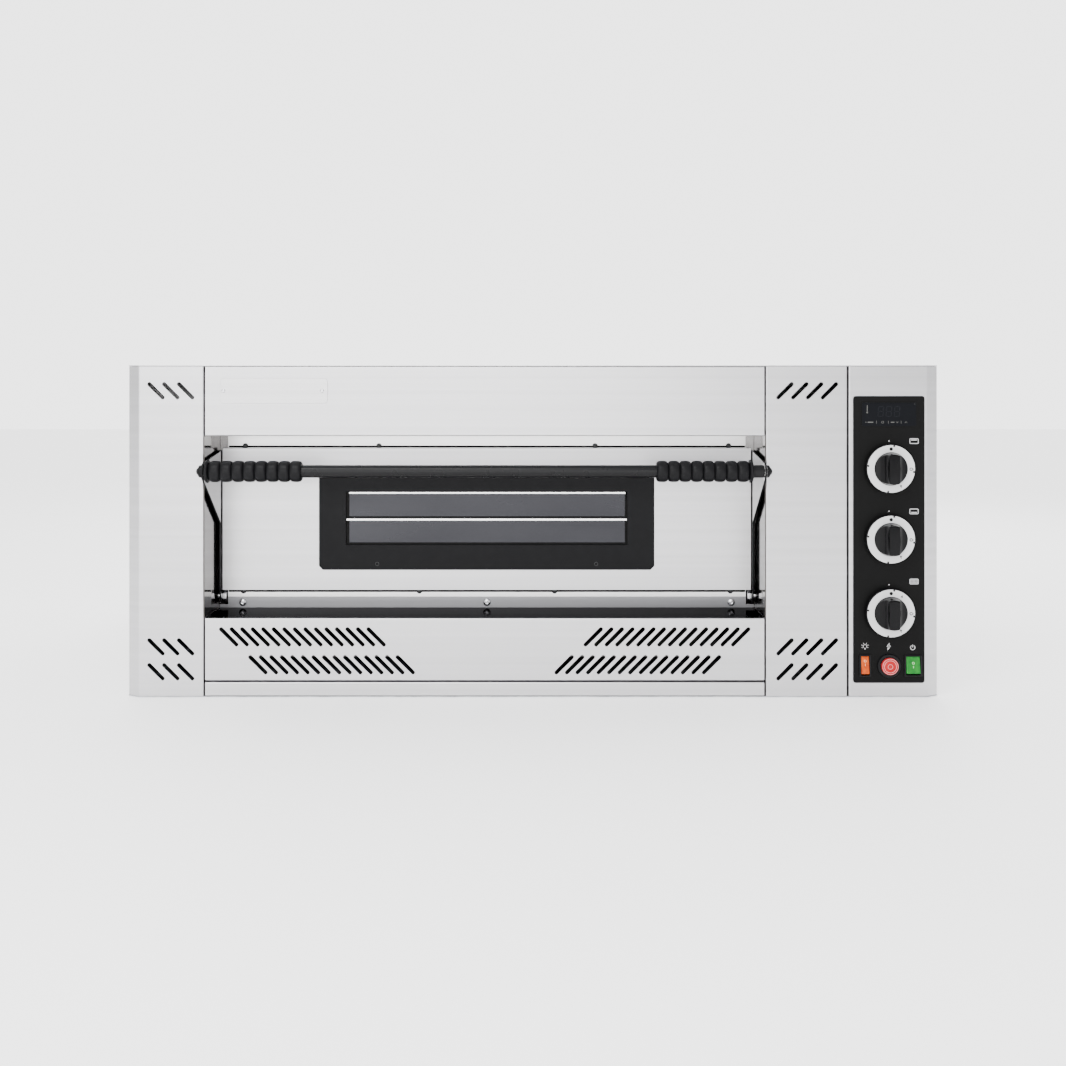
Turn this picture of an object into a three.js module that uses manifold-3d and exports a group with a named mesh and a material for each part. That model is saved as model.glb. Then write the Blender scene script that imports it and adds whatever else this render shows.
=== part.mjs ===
// Single-deck gas pizza oven with a drop-down door: 60 separate pieces as a three.js scene graph.
// Millimetres, +Z up. The front faces -Y, and the origin is under the middle of the whole part.
import * as THREE from "three";
import { mergeVertices } from "three/addons/utils/BufferGeometryUtils.js";
import Module from "manifold-3d";

const wasm = await Module();
wasm.setup();

// Cabinet
const bodyWidth = 1305;
const bodyDepth = 860;
const bodyHeight = 533;
const sheet = 1.5;
const gap = 0.3; // between pieces that touch
const seam = 2.4; // between two front panels
const leftColumn = 125;
const ventColumn = 133;
const controlColumn = 147;
const plinthHeight = 25.5;
const shelfHeight = 127; // top of the lower grille, floor of the door bay
const headerHeight = 113.5;
const bevelWidth = 19;
const bevelDepth = 12;
const foldDepth = 20; // how far a front panel's edges fold back

// Door bay
const bayDepth = 102; // front plane to the mouth frame
const armSlot = 14; // space at each side of the mouth frame for the door arms
const sillHeight = 18;
const sillFoot = 5; // height above the shelf up to which the sill runs from wall to wall

// Vent slots
const slotWidth = 5.5;
const cornerSides = 2; // half the number of flats round each slot end and corner
const grilleRun = 24.5; // a slot's run along X and along Z, between its end centres
const grillePitch = 16.9;
const grilleRows = [
  { height: 97, inset: 23.5 },
  { height: 52.3, inset: 70.3 },
];
const grilleMiddle = 222; // plain width between the two groups
const columnRun = 21.3;
const columnPitch = 23.8;
const columnRowHeights = [41, 81];
const columnTopRow = 41; // from the top of the cabinet
const leftSlotInset = 33.3;
const ventSlotInset = 17.9;

// Chamber
const chamberMargin = 7.5; // chamber wall beyond the bay wall on each side
const chamberTop = 345; // ceiling height of the baking chamber
const chamberFloor = 45; // floor of the burner box
const stoneTop = 190;
const stoneThickness = 25;
const ledge = 14;
const rearSpace = 144; // chamber back wall to the cabinet's back
const insulation = 40;
const mouthBottom = 190;
const mouthTop = 345;
const mouthLap = 18; // door edge beyond the mouth on each side
const burnerRadius = 20;
const upperBurnerRadius = 14;
const feedRadius = 6;

// Door
const doorBackClearance = gap;
const doorRim = 11.7; // depth of the outer tray
const plugDepth = 23; // how far the inner tray enters the mouth
const plugClearance = 5;
const doorSideClearance = 7; // door edge to bay wall
const doorBottom = 157.8;
const doorTopClearance = 23.8; // door top to the header's lower edge
const windowWidth = 470;
const windowHeight = 88.5;
const windowBottom = 234;
const frameSideMargin = 45.5;
const frameBottomMargin = 42;
const frameTopMargin = 36.5;
const frameThickness = 4;
const frameChamfer = 6.5;
const glassThickness = 4;
const glassLap = 8;

// Hinge, arms and handle
const pivotHeight = 147;
const pivotSetback = 10; // behind the door's outer face
const pinRadius = 5;
const runningFit = 0.1; // added to a bore's radius
const armThickness = 3;
const armGap = 1; // door edge to arm
const armFront = 16; // front and back edges of the arm's bar, in front of the pivot
const armBack = -1;
const hubRadius = 13;
const gussetHeight = 124; // above the pivot, where the gusset leaves the door
const handleHeight = 217; // above the pivot
const handleProud = 22; // bar centre in front of the front plane
const handleRadius = 10;
const handleBoss = 14;
const handleSpigot = 6;
const capLength = 10;
const beadCount = 8;
const beadPitch = 18.3;
const beadRadius = 17;
const beadValley = 13;
const flangeRadius = 18.5;
const flangeThickness = 7;
const gripFit = 0.5;
const rightGripSetback = 16; // bare bar at the right end

// Controls
const overlayWidth = 114.6;
const overlayBottom = 23.3;
const overlayTopMargin = 49.4;
const overlayThickness = 1;
const overlayCentre = 65.5; // from the control column's left edge
const knobSkirtRadius = 40;
const knobSkirt = 6;
const knobRingRadius = 37.9;
const knobRingInner = 26.7;
const knobRingHeight = 2.5;
const knobGripWidth = 17.5;
const knobGripLength = 46;
const knobGripHeight = 22;
const knobTravel = 5;
const knobStandOff = 6.5;
const knobBelowTop = 116.2; // top knob, from the overlay's top
const knobAboveBottom = 113.7; // bottom knob, from the overlay's bottom
const middleKnobLift = 2.5;
const spindleRadius = 4;
const spindleHole = 7;
const valveFront = 45; // front of the gas valves behind the front plane
const valveSize = 38;
const manifoldRadius = 11;
const displayWidth = 87;
const displayHeight = 37.6;
const displayBelowTop = 29.5;
const switchAboveBottom = 27.7;
const switchPitch = 38.5;
const buttonRadius = 13.4;
const bezelRadius = 19.7;
const buttonTravel = 4;
const switchProud = 2.2;
const rockerTilt = 10; // degrees each side of the middle

// Rear and lamp
const flueRadius = 50;
const flueReach = 60; // behind the cabinet
const flueFlange = flueRadius + 12; // half of its square flanges
const flueHeight = chamberTop + sheet - flueFlange; // the front flange ends at the chamber's top
const inletHeight = 60;
const glandHeight = 120;
const lampRadius = 24;
const lampHeight = 290;
const lampSetback = 150; // behind the mouth frame

// Name plate
const plateWidth = 172;
const plateHeight = 40;
const plateInset = 26;
const plateDrop = 21.2;
const plateThickness = 1.2;

const roundSides = 20;

// Places worked out from the sizes above
const handleFront = handleProud + flangeRadius;
const frontY = handleFront - (handleFront + bodyDepth + flueReach) / 2;
const left = -bodyWidth / 2;
const right = bodyWidth / 2;
const bayLeft = left + leftColumn;
const bayRight = right - controlColumn - ventColumn;
const bayMiddle = (bayLeft + bayRight) / 2;
const bayHalf = (bayRight - bayLeft) / 2;
const bayTop = bodyHeight - headerHeight;
const panelBottom = sheet + gap; // the wall panels stand on the base
const panelTop = bodyHeight - sheet - gap; // and the top cover lies on them
const mouthY = frontY + bayDepth;
const chamberFront = mouthY + sheet + gap;
const chamberBack = frontY + bodyDepth - rearSpace;
const chamberHalf = bayHalf + chamberMargin;
const chamberLeft = bayMiddle - chamberHalf;
const chamberRight = bayMiddle + chamberHalf;
const rearY = frontY + bodyDepth;
const doorY = mouthY - doorBackClearance - doorRim;
const doorHalf = bayHalf - doorSideClearance;
const doorTop = bayTop - doorTopClearance;
const pivotY = doorY + pivotSetback;
const handleY = frontY - handleProud;
const handleReach = pivotY - handleY;
const handleZ = pivotHeight + handleHeight;
const armInner = doorHalf + armGap;
const armOuter = armInner + armThickness;
const mouthHalf = doorHalf - mouthLap;
const columnLeft = right - controlColumn;
const knobX = columnLeft + overlayCentre;
const overlayTop = bodyHeight - overlayTopMargin;
const overlayY = frontY - gap;
const overlayFace = overlayY - overlayThickness;
const switchZ = overlayBottom + switchAboveBottom;
const displayZ = overlayTop - displayBelowTop;
const topKnobZ = overlayTop - knobBelowTop;
const bottomKnobZ = overlayBottom + knobAboveBottom;
const middleKnobZ = (topKnobZ + bottomKnobZ) / 2 + middleKnobLift;
const manifoldY = frontY + valveFront + valveSize + gap + manifoldRadius;

const finishes = {
  steel: { color: 0xd6d5d7, roughness: 0.35, metalness: 0.9 },
  polished: { color: 0xc9c9cc, roughness: 0.12, metalness: 1 },
  galvanised: { color: 0x9a9d9f, roughness: 0.5, metalness: 0.8 },
  black: { color: 0x26262a, roughness: 0.5, metalness: 0.2 },
  blackPlastic: { color: 0x1c1c1e, roughness: 0.55, metalness: 0 },
  stone: { color: 0xb9a88d, roughness: 0.95, metalness: 0 },
  wool: { color: 0xcfc7a8, roughness: 1, metalness: 0 },
  brass: { color: 0xb08d4c, roughness: 0.4, metalness: 0.9 },
  glass: { color: 0x3a3a3e, roughness: 0.08, metalness: 0, transparent: true, opacity: 0.5 },
  orange: { color: 0xf08a1d, roughness: 0.3, metalness: 0 },
  red: { color: 0xe04b4b, roughness: 0.3, metalness: 0 },
  green: { color: 0x27a343, roughness: 0.3, metalness: 0 },
};

// ---- Making and cutting solids ----

// A closed geometry as a solid that can be joined and cut.
function solid(geometry) {
  const bare = new THREE.BufferGeometry();
  const loose = geometry.index ? geometry.toNonIndexed() : geometry;
  bare.setAttribute("position", loose.getAttribute("position"));
  const merged = mergeVertices(bare, 1e-4);
  const mesh = new wasm.Mesh({
    numProp: 3,
    vertProperties: merged.attributes.position.array,
    triVerts: new Uint32Array(merged.index.array),
  });
  return new wasm.Manifold(mesh);
}

function joined(...solids) {
  return solids.reduce((whole, piece) => whole.add(piece));
}

function cut(from, ...solids) {
  return solids.reduce((rest, piece) => rest.subtract(piece), from);
}

const middle = (span) => (span[0] + span[1]) / 2;
const length = (span) => span[1] - span[0];

function block(x, y, z) {
  const geometry = new THREE.BoxGeometry(length(x), length(y), length(z));
  geometry.translate(middle(x), middle(y), middle(z));
  return solid(geometry);
}

function extruded(shape, depth) {
  return new THREE.ExtrudeGeometry(shape, { depth, bevelEnabled: false, curveSegments: cornerSides });
}

// An outline in X and Z, as thick as the span in Y.
function frontPlate(shape, y) {
  const geometry = extruded(shape, length(y));
  geometry.rotateX(Math.PI / 2);
  geometry.translate(0, y[1], 0);
  return solid(geometry);
}

// An outline in Y and Z, as wide as the span in X.
function sidePlate(shape, x) {
  const geometry = extruded(shape, length(x));
  geometry.rotateX(Math.PI / 2);
  geometry.rotateZ(Math.PI / 2);
  geometry.translate(x[0], 0, 0);
  return solid(geometry);
}

// An outline in X and Y, as high as the span in Z.
function floorPlate(shape, z) {
  const geometry = extruded(shape, length(z));
  geometry.translate(0, 0, z[0]);
  return solid(geometry);
}

const turnTo = {
  x: (geometry) => geometry.rotateZ(-Math.PI / 2),
  y: (geometry) => geometry,
  z: (geometry) => geometry.rotateX(Math.PI / 2),
};

// A round bar along an axis, centred on a point of that axis.
function rod(axis, radius, span, [x, y, z], sides = roundSides) {
  const geometry = new THREE.CylinderGeometry(radius, radius, length(span), sides);
  turnTo[axis](geometry);
  const along = middle(span);
  const place = { x: [along, y, z], y: [x, along, z], z: [x, y, along] }[axis];
  geometry.translate(...place);
  return solid(geometry);
}

// A turned piece: the profile holds [radius, distance along the axis] and closes on itself.
function turned(axis, profile, [x, y, z], sides = roundSides) {
  const points = [...profile, profile[0]].map(([radius, along]) => new THREE.Vector2(radius, along));
  const geometry = new THREE.LatheGeometry(points, sides);
  turnTo[axis](geometry);
  geometry.translate(x, y, z);
  const made = solid(geometry);
  return made.volume() > 0 ? made : turned(axis, [...profile].reverse(), [x, y, z], sides);
}

function outline(points) {
  return new THREE.Shape(points.map(([u, v]) => new THREE.Vector2(u, v)));
}

function roundedRectangle(u, v, radius) {
  const shape = new THREE.Shape();
  shape.absarc(u[1] - radius, v[1] - radius, radius, 0, Math.PI / 2);
  shape.absarc(u[0] + radius, v[1] - radius, radius, Math.PI / 2, Math.PI);
  shape.absarc(u[0] + radius, v[0] + radius, radius, Math.PI, Math.PI * 1.5);
  shape.absarc(u[1] - radius, v[0] + radius, radius, Math.PI * 1.5, Math.PI * 2);
  return shape;
}

// A sheet folded along a line of corners: the line is its outer face.
// The metal lies to the left of the line, or to the right where `side` is -1.
function folded(corners, side = 1) {
  const line = corners.map(([u, v]) => new THREE.Vector2(u, v));
  const normals = line.slice(1).map((end, i) => {
    const along = end.clone().sub(line[i]).normalize();
    return new THREE.Vector2(-along.y, along.x).multiplyScalar(side);
  });
  const back = line.map((corner, i) => {
    const before = normals[Math.max(i - 1, 0)];
    const after = normals[Math.min(i, normals.length - 1)];
    const mitre = before.clone().add(after).multiplyScalar(sheet / (1 + before.dot(after)));
    return corner.clone().add(mitre);
  });
  return new THREE.Shape([...line, ...back.reverse()]);
}

// A slot with round ends at 45 degrees: lean 1 is up to the right, and -1 is up to the left.
function slotHole(x, z, run, lean, y) {
  const along = Math.atan2(1, lean);
  const reach = [(lean * run) / 2, run / 2];
  const shape = new THREE.Shape();
  const quarter = Math.PI / 2;
  shape.absarc(x + reach[0], z + reach[1], slotWidth / 2, along - quarter, along + quarter);
  shape.absarc(x - reach[0], z - reach[1], slotWidth / 2, along + quarter, along + 3 * quarter);
  return frontPlate(shape, y);
}

function slotRow(count, firstX, pitch, z, run, lean) {
  const y = [frontY - sheet, frontY + 2 * sheet];
  return Array.from({ length: count }, (_, i) => slotHole(firstX + i * pitch, z, run, lean, y));
}

// ---- Cabinet ----

// The cabinet seen from above, with its two front corners bevelled.
function planOutline() {
  return outline([
    [left + bevelWidth, frontY],
    [right - bevelWidth, frontY],
    [right, frontY + bevelDepth],
    [right, rearY],
    [left, rearY],
    [left, frontY + bevelDepth],
  ]);
}

// A side wall and the front column that it is folded with. `hand` is -1 on the left.
function casing(hand, columnEdge) {
  const side = hand * (bodyWidth / 2);
  const corners = [
    [side - hand * foldDepth, rearY],
    [side, rearY],
    [side, frontY + bevelDepth],
    [side - hand * bevelWidth, frontY],
    [columnEdge, frontY],
    [columnEdge, frontY + foldDepth],
  ];
  return floorPlate(folded(corners, -hand), [panelBottom, panelTop]);
}

function columnSlots(count, firstEdge, lean) {
  const firstX = firstEdge + (columnRun + slotWidth) / 2;
  const heights = [...columnRowHeights, bodyHeight - columnTopRow];
  return heights.flatMap((z) => slotRow(count, firstX, columnPitch, z, columnRun, lean));
}

function leftCasing() {
  return cut(casing(-1, bayLeft - seam / 2), ...columnSlots(3, left + leftSlotInset, -1));
}

function controlHoles(y) {
  const knobs = [topKnobZ, middleKnobZ, bottomKnobZ].map((z) => rod("y", spindleHole, y, [knobX, 0, z]));
  const display = block(
    [knobX - displayWidth / 2 + 6, knobX + displayWidth / 2 - 6],
    y,
    [displayZ - displayHeight / 2 + 5, displayZ + displayHeight / 2 - 5],
  );
  const switches = switchSizes.map(({ x, half, bodyMargin }) =>
    block(
      [x - half[0] - bodyMargin - gap, x + half[0] + bodyMargin + gap],
      y,
      [switchZ - half[1] - bodyMargin - gap, switchZ + half[1] + bodyMargin + gap],
    ),
  );
  const button = rod("y", bezelRadius - 3.5, y, [knobX, 0, switchZ]);
  return [...knobs, display, ...switches, button];
}

function rightCasing() {
  return cut(casing(1, columnLeft + seam / 2), ...controlHoles([frontY - sheet, frontY + 2 * sheet]));
}

function ventColumnPanel() {
  const edges = [bayRight + seam / 2, columnLeft - seam / 2];
  const corners = [
    [edges[0], frontY + foldDepth],
    [edges[0], frontY],
    [edges[1], frontY],
    [edges[1], frontY + foldDepth],
  ];
  const panel = floorPlate(folded(corners), [panelBottom, panelTop]);
  return cut(panel, ...columnSlots(4, bayRight + ventSlotInset, 1));
}

const panelSpan = [bayLeft + seam / 2, bayRight - seam / 2];

function headerPanel() {
  const corners = [
    [mouthY - gap, bayTop],
    [frontY, bayTop],
    [frontY, panelTop],
    [frontY + foldDepth, panelTop],
  ];
  return sidePlate(folded(corners, -1), panelSpan);
}

function lowerGrille() {
  const bottom = plinthHeight + seam / 2;
  const corners = [
    [frontY + foldDepth, bottom],
    [frontY, bottom],
    [frontY, shelfHeight],
    [mouthY - sheet - 2 * gap, shelfHeight],
  ];
  const panel = sidePlate(folded(corners, -1), panelSpan);
  const slots = grilleRows.flatMap(({ height, inset }) => {
    const room = bayHalf - grilleRows[1].inset - grilleMiddle / 2;
    const count = Math.floor(room / grillePitch);
    const firstX = inset + (grilleRun + slotWidth) / 2;
    return [
      ...slotRow(count, bayLeft + firstX, grillePitch, height, grilleRun, -1),
      ...slotRow(count, bayRight - firstX, -grillePitch, height, grilleRun, 1),
    ];
  });
  return cut(panel, ...slots);
}

function plinth() {
  const corners = [
    [frontY + foldDepth, panelBottom],
    [frontY, panelBottom],
    [frontY, plinthHeight - seam / 2],
    [frontY + foldDepth, plinthHeight - seam / 2],
  ];
  return sidePlate(folded(corners, -1), panelSpan);
}

function basePan() {
  return floorPlate(planOutline(), [0, sheet]);
}

function topCover() {
  return floorPlate(planOutline(), [bodyHeight - sheet, bodyHeight]);
}

const flueX = bayMiddle;
const glandX = knobX;

// A square about the flue's axis: its flanges, and the holes that they close.
function flueSquare(half, y) {
  return block([flueX - half, flueX + half], y, [flueHeight - half, flueHeight + half]);
}

function rearPanel() {
  const inner = sheet + gap;
  const y = [rearY - 2 * sheet - gap, rearY - sheet - gap];
  const through = [y[0] - 1, y[1] + 1];
  const panel = block([left + inner, right - inner], y, [panelBottom, panelTop]);
  const holes = [
    flueSquare(flueRadius + gap, through),
    rod("y", manifoldRadius + 1, through, [knobX, 0, inletHeight]),
    rod("y", 11, through, [glandX, 0, glandHeight]),
  ];
  const louvreWidth = 120;
  const louvreHeight = 8;
  const louvres = [-1, 1].flatMap((hand) =>
    [0, 1, 2, 3, 4].map((row) => {
      const x = bayMiddle + hand * (chamberHalf - louvreWidth);
      const z = bodyHeight - 60 - row * 24;
      return block([x - louvreWidth / 2, x + louvreWidth / 2], through, [z - louvreHeight, z]);
    }),
  );
  return cut(panel, ...holes, ...louvres);
}

function namePlate() {
  const x = [bayLeft + plateInset, bayLeft + plateInset + plateWidth];
  const z = [bodyHeight - plateDrop - plateHeight, bodyHeight - plateDrop];
  return frontPlate(roundedRectangle(x, z, 5.6), [frontY - gap - plateThickness, frontY - gap]);
}

// ---- Door bay ----

function bayCheek(hand) {
  const inner = bayMiddle + hand * bayHalf;
  const x = [inner, inner + hand * (seam / 2 - gap)].sort((a, b) => a - b);
  const z = [shelfHeight + gap, bayTop - gap];
  const wall = block(x, [frontY + gap, mouthY + sheet], z);
  return cut(wall, pinHole(x));
}

function pinHole(x) {
  return rod("x", pinRadius + gap, [x[0] - 1, x[1] + 1], [0, pivotY, pivotHeight]);
}

const frameHalf = bayHalf - armSlot;

function mouthFrame() {
  const plate = block(
    [bayMiddle - frameHalf, bayMiddle + frameHalf],
    [mouthY, mouthY + sheet],
    [shelfHeight - 17, bayTop + 5],
  );
  const mouth = block(
    [bayMiddle - mouthHalf, bayMiddle + mouthHalf],
    [mouthY - 1, mouthY + sheet + 1],
    [mouthBottom, mouthTop],
  );
  return cut(plate, mouth);
}

function sillBar() {
  const y = [mouthY - sheet - gap, mouthY - gap];
  const foot = bayHalf - gap;
  return joined(
    block([bayMiddle - foot, bayMiddle + foot], y, [shelfHeight - 7, shelfHeight + sillFoot]),
    block([bayMiddle - frameHalf, bayMiddle + frameHalf], y, [shelfHeight, shelfHeight + sillHeight]),
  );
}

// ---- Chamber and burners ----

function chamberShell() {
  const inner = {
    x: [chamberLeft, chamberRight],
    y: [chamberFront - 1, chamberBack],
    z: [chamberFloor, chamberTop],
  };
  const outer = block(
    [chamberLeft - sheet, chamberRight + sheet],
    [chamberFront, chamberBack + sheet],
    [chamberFloor - sheet, chamberTop + sheet],
  );
  const ledgeZ = [stoneTop - stoneThickness - gap - sheet, stoneTop - stoneThickness - gap];
  const ledges = [
    block([chamberLeft - sheet / 2, chamberLeft + ledge], [chamberFront, chamberBack], ledgeZ),
    block([chamberRight - ledge, chamberRight + sheet / 2], [chamberFront, chamberBack], ledgeZ),
    block([bayMiddle - ledge, bayMiddle + ledge], [chamberFront, chamberBack + sheet / 2], ledgeZ),
  ];
  const shell = joined(cut(outer, block(inner.x, inner.y, inner.z)), ...ledges);
  const flue = flueSquare(flueRadius + gap, [chamberBack - 1, chamberBack + sheet + 1]);
  const wall = [chamberRight - sheet, chamberRight + 2 * sheet];
  const lamp = rod("x", lampRadius + gap, wall, [0, lampY, lampHeight]);
  const feeds = burners.map(({ y, z }) => rod("x", feedRadius + gap, wall, [0, y, z]));
  return cut(shell, flue, lamp, ...feeds);
}

function stone(index) {
  const width = (2 * chamberHalf - 3 * gap) / 2;
  const start = chamberLeft + gap + index * (width + gap);
  return block(
    [start, start + width],
    [chamberFront + gap, chamberBack - gap],
    [stoneTop - stoneThickness, stoneTop],
  );
}

const lampY = chamberFront + lampSetback;
const chamberDepth = chamberBack - chamberFront;
const burners = [
  { name: "upper", y: chamberBack - 32, z: chamberTop - 26, radius: upperBurnerRadius, valveZ: topKnobZ },
  { name: "rear", y: chamberFront + chamberDepth * 0.72, z: 105, radius: burnerRadius, valveZ: middleKnobZ },
  { name: "front", y: chamberFront + chamberDepth * 0.28, z: 105, radius: burnerRadius, valveZ: bottomKnobZ },
];

// A burner tube across the chamber, and the pipe that feeds it from its gas valve.
function burner({ y, z, radius, valveZ }) {
  const tube = rod("x", radius, [chamberLeft + 25, chamberRight - 25], [0, y, z], 16);
  const valveX = knobX - valveSize / 2 - gap;
  const riserX = (chamberRight + valveX) / 2 + 12;
  const valveY = frontY + valveFront + valveSize / 2;
  const corners = [
    new THREE.Vector3(chamberRight - 30, y, z),
    new THREE.Vector3(riserX, y, z),
    new THREE.Vector3(riserX, valveY, valveZ),
    new THREE.Vector3(valveX, valveY, valveZ),
  ];
  const bend = 18;
  const path = new THREE.CurvePath();
  let start = corners[0];
  corners.slice(1, -1).forEach((corner, i) => {
    const before = corner.clone().add(corners[i].clone().sub(corner).setLength(bend));
    const after = corner.clone().add(corners[i + 2].clone().sub(corner).setLength(bend));
    path.add(new THREE.LineCurve3(start, before));
    path.add(new THREE.QuadraticBezierCurve3(before, corner, after));
    start = after;
  });
  path.add(new THREE.LineCurve3(start, corners.at(-1)));
  const section = new THREE.Shape();
  section.absarc(0, 0, feedRadius, 0, Math.PI * 2);
  const route = new THREE.CatmullRomCurve3(path.getPoints(4), false, "centripetal");
  const feed = new THREE.ExtrudeGeometry(section, { steps: 26, curveSegments: 4, extrudePath: route });
  return joined(tube, solid(feed));
}

function insulationWrap() {
  const inner = sheet + gap;
  const y = [chamberFront + 30, chamberBack];
  const floor = stoneTop;
  const outer = block(
    [chamberLeft - inner - insulation, chamberRight + inner + insulation],
    y,
    [floor, chamberTop + inner + insulation],
  );
  const around = block(
    [chamberLeft - inner, chamberRight + inner],
    [y[0] - 1, y[1] + 1],
    [floor - 1, chamberTop + inner],
  );
  const wall = [chamberRight, chamberRight + 2 * insulation];
  const lamp = rod("x", lampRadius + 3, wall, [0, lampY, lampHeight]);
  const feed = rod("x", feedRadius + 3, wall, [0, burners[0].y, burners[0].z]);
  return cut(outer, around, lamp, feed);
}

function insulationBack() {
  const y = [chamberBack + sheet + gap, chamberBack + sheet + gap + insulation];
  const board = block([chamberLeft, chamberRight], y, [stoneTop, chamberTop]);
  return cut(board, flueSquare(flueFlange + gap, [y[0] - 1, y[1] + 1]));
}

function flueSpigot() {
  const span = [chamberBack + sheet / 3, rearY + flueReach];
  const axis = [flueX, 0, flueHeight];
  const flanges = [chamberBack + sheet + gap, rearY - sheet].map((start) =>
    flueSquare(flueFlange, [start, start + sheet]),
  );
  const bore = rod("y", flueRadius - sheet, [span[0] - 1, span[1] + 1], axis);
  return cut(joined(rod("y", flueRadius, span, axis), ...flanges), bore);
}

function lampHousing() {
  const x = [chamberRight + sheet + gap, chamberRight + sheet + gap + insulation + 30];
  return turned(
    "x",
    [
      [0, x[1]],
      [lampRadius, x[1]],
      [lampRadius, x[0]],
      [lampRadius - 2, x[0]],
      [lampRadius - 2, x[1] - 2],
      [0, x[1] - 2],
    ],
    [0, lampY, lampHeight],
  );
}

function lampGlass() {
  return rod("x", lampRadius - 0.5, [chamberRight - 4, chamberRight + sheet], [0, lampY, lampHeight]);
}

// ---- Gas ----

function gasManifold() {
  const z = [inletHeight - manifoldRadius, topKnobZ + 35];
  const upright = rod("z", manifoldRadius, z, [knobX, manifoldY, 0], 16);
  const runSpan = [manifoldY, rearY - 2 * sheet - 2 * gap];
  const run = rod("y", manifoldRadius - 1, runSpan, [knobX, 0, inletHeight], 16);
  return joined(upright, run);
}

function gasInlet() {
  const start = rearY - 2 * sheet - gap;
  return turned(
    "y",
    [
      [5, start],
      [manifoldRadius, start],
      [manifoldRadius, rearY - sheet],
      [manifoldRadius + 6, rearY - sheet],
      [manifoldRadius + 6, rearY + 8],
      [manifoldRadius - 0.5, rearY + 8],
      [manifoldRadius - 0.5, rearY + 30],
      [5, rearY + 30],
    ],
    [knobX, 0, inletHeight],
    16,
  );
}

function cableGland() {
  const start = rearY - 14;
  return turned(
    "y",
    [
      [4, start],
      [10, start],
      [10, rearY - sheet],
      [14, rearY - sheet],
      [14, rearY + 6],
      [10, rearY + 8],
      [9, rearY + 22],
      [4, rearY + 22],
    ],
    [glandX, 0, glandHeight],
    16,
  );
}

function valveBody(z) {
  const front = frontY + valveFront;
  const half = valveSize / 2;
  const body = block([knobX - half, knobX + half], [front, front + valveSize], [z - half, z + half]);
  const neck = rod("y", spindleRadius + 5, [front - 12, front + 1], [knobX, 0, z], 16);
  const bore = rod("y", spindleRadius + runningFit, [front - 13, front + 20], [knobX, 0, z]);
  return cut(joined(body, neck), bore);
}

const knobBack = overlayFace - knobStandOff;

function valvePlug(z) {
  const tip = knobBack - 14;
  return rod("y", spindleRadius, [tip, frontY + valveFront + 19], [knobX, 0, z]);
}

// A skirt, a raised ring and a grip bar, with a blind bore from the back for the spindle.
function knob(z) {
  const skirtFace = knobBack - knobSkirt;
  const skirt = rod("y", knobSkirtRadius, [skirtFace, knobBack], [knobX, 0, z], 24);
  const ring = turned(
    "y",
    [
      [knobRingInner, skirtFace - knobRingHeight],
      [knobRingRadius - 1, skirtFace - knobRingHeight],
      [knobRingRadius, skirtFace - knobRingHeight + 1],
      [knobRingRadius, skirtFace + 1],
      [knobRingInner, skirtFace + 1],
    ],
    [knobX, 0, z],
    24,
  );
  const half = knobGripWidth / 2;
  const taper = 2.5;
  const grip = new THREE.Shape();
  grip.moveTo(knobX - half, knobBack - 1);
  grip.lineTo(knobX + half, knobBack - 1);
  grip.lineTo(knobX + half - taper, skirtFace - knobGripHeight);
  grip.lineTo(knobX - half + taper, skirtFace - knobGripHeight);
  const bar = floorPlate(grip, [z - knobGripLength / 2, z + knobGripLength / 2]);
  const boreSpan = [knobBack - 14 - knobTravel - 1, knobBack + 1];
  const bore = rod("y", spindleRadius + runningFit, boreSpan, [knobX, 0, z]);
  return cut(joined(skirt, ring, bar), bore);
}

// ---- Controls ----

// A switch's half width and half height are those of its rocker, and it turns about X.
const switchSizes = [
  { name: "light", x: knobX - switchPitch, half: [6.2, 14], bodyMargin: 1.5, finish: "orange" },
  { name: "power", x: knobX + switchPitch, half: [11, 13.5], bodyMargin: 1.5, finish: "green" },
];

function controlOverlay() {
  const x = [knobX - overlayWidth / 2, knobX + overlayWidth / 2];
  const plate = frontPlate(roundedRectangle(x, [overlayBottom, overlayTop], 4), [overlayFace, overlayY]);
  return cut(plate, ...controlHoles([overlayFace - 1, overlayY + 1]));
}

function displayLens() {
  const x = [knobX - displayWidth / 2, knobX + displayWidth / 2];
  const z = [displayZ - displayHeight / 2, displayZ + displayHeight / 2];
  return frontPlate(roundedRectangle(x, z, 1.5), [overlayFace - gap - 0.8, overlayFace - gap]);
}

function controllerBox() {
  const x = [knobX - displayWidth / 2 + 6.5, knobX + displayWidth / 2 - 6.5];
  const z = [displayZ - displayHeight / 2 + 5.5, displayZ + displayHeight / 2 - 5.5];
  return block(x, [overlayFace, frontY + 62], z);
}

// The housing is a frame on the overlay with an open box behind it for the rocker.
function switchBody({ x, half, bodyMargin }) {
  const swing = 1.4; // room for the rocker's turning ends
  const inner = [half[0] + gap, half[1] + swing];
  const outer = [half[0] + bodyMargin, half[1] + bodyMargin + gap];
  const rim = outer.map((size) => size + 1.6);
  const span = (centre, size) => [centre - size, centre + size];
  const box = block(span(x, outer[0]), [overlayFace - 0.5, frontY + 26], span(switchZ, outer[1]));
  const face = overlayFace - gap;
  const bezel = block(span(x, rim[0]), [face - switchProud, face], span(switchZ, rim[1]));
  const hollow = block(span(x, inner[0]), [face - switchProud - 1, frontY + 20], span(switchZ, inner[1]));
  return cut(joined(box, bezel), hollow);
}

const rockerPivot = frontY + 4;

function rocker({ x, half }) {
  const geometry = new THREE.BoxGeometry(2 * half[0], 12, 2 * half[1]);
  geometry.translate(0, -2, 0);
  geometry.rotateX(THREE.MathUtils.degToRad(-rockerTilt));
  geometry.translate(x, rockerPivot, switchZ);
  return solid(geometry);
}

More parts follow.
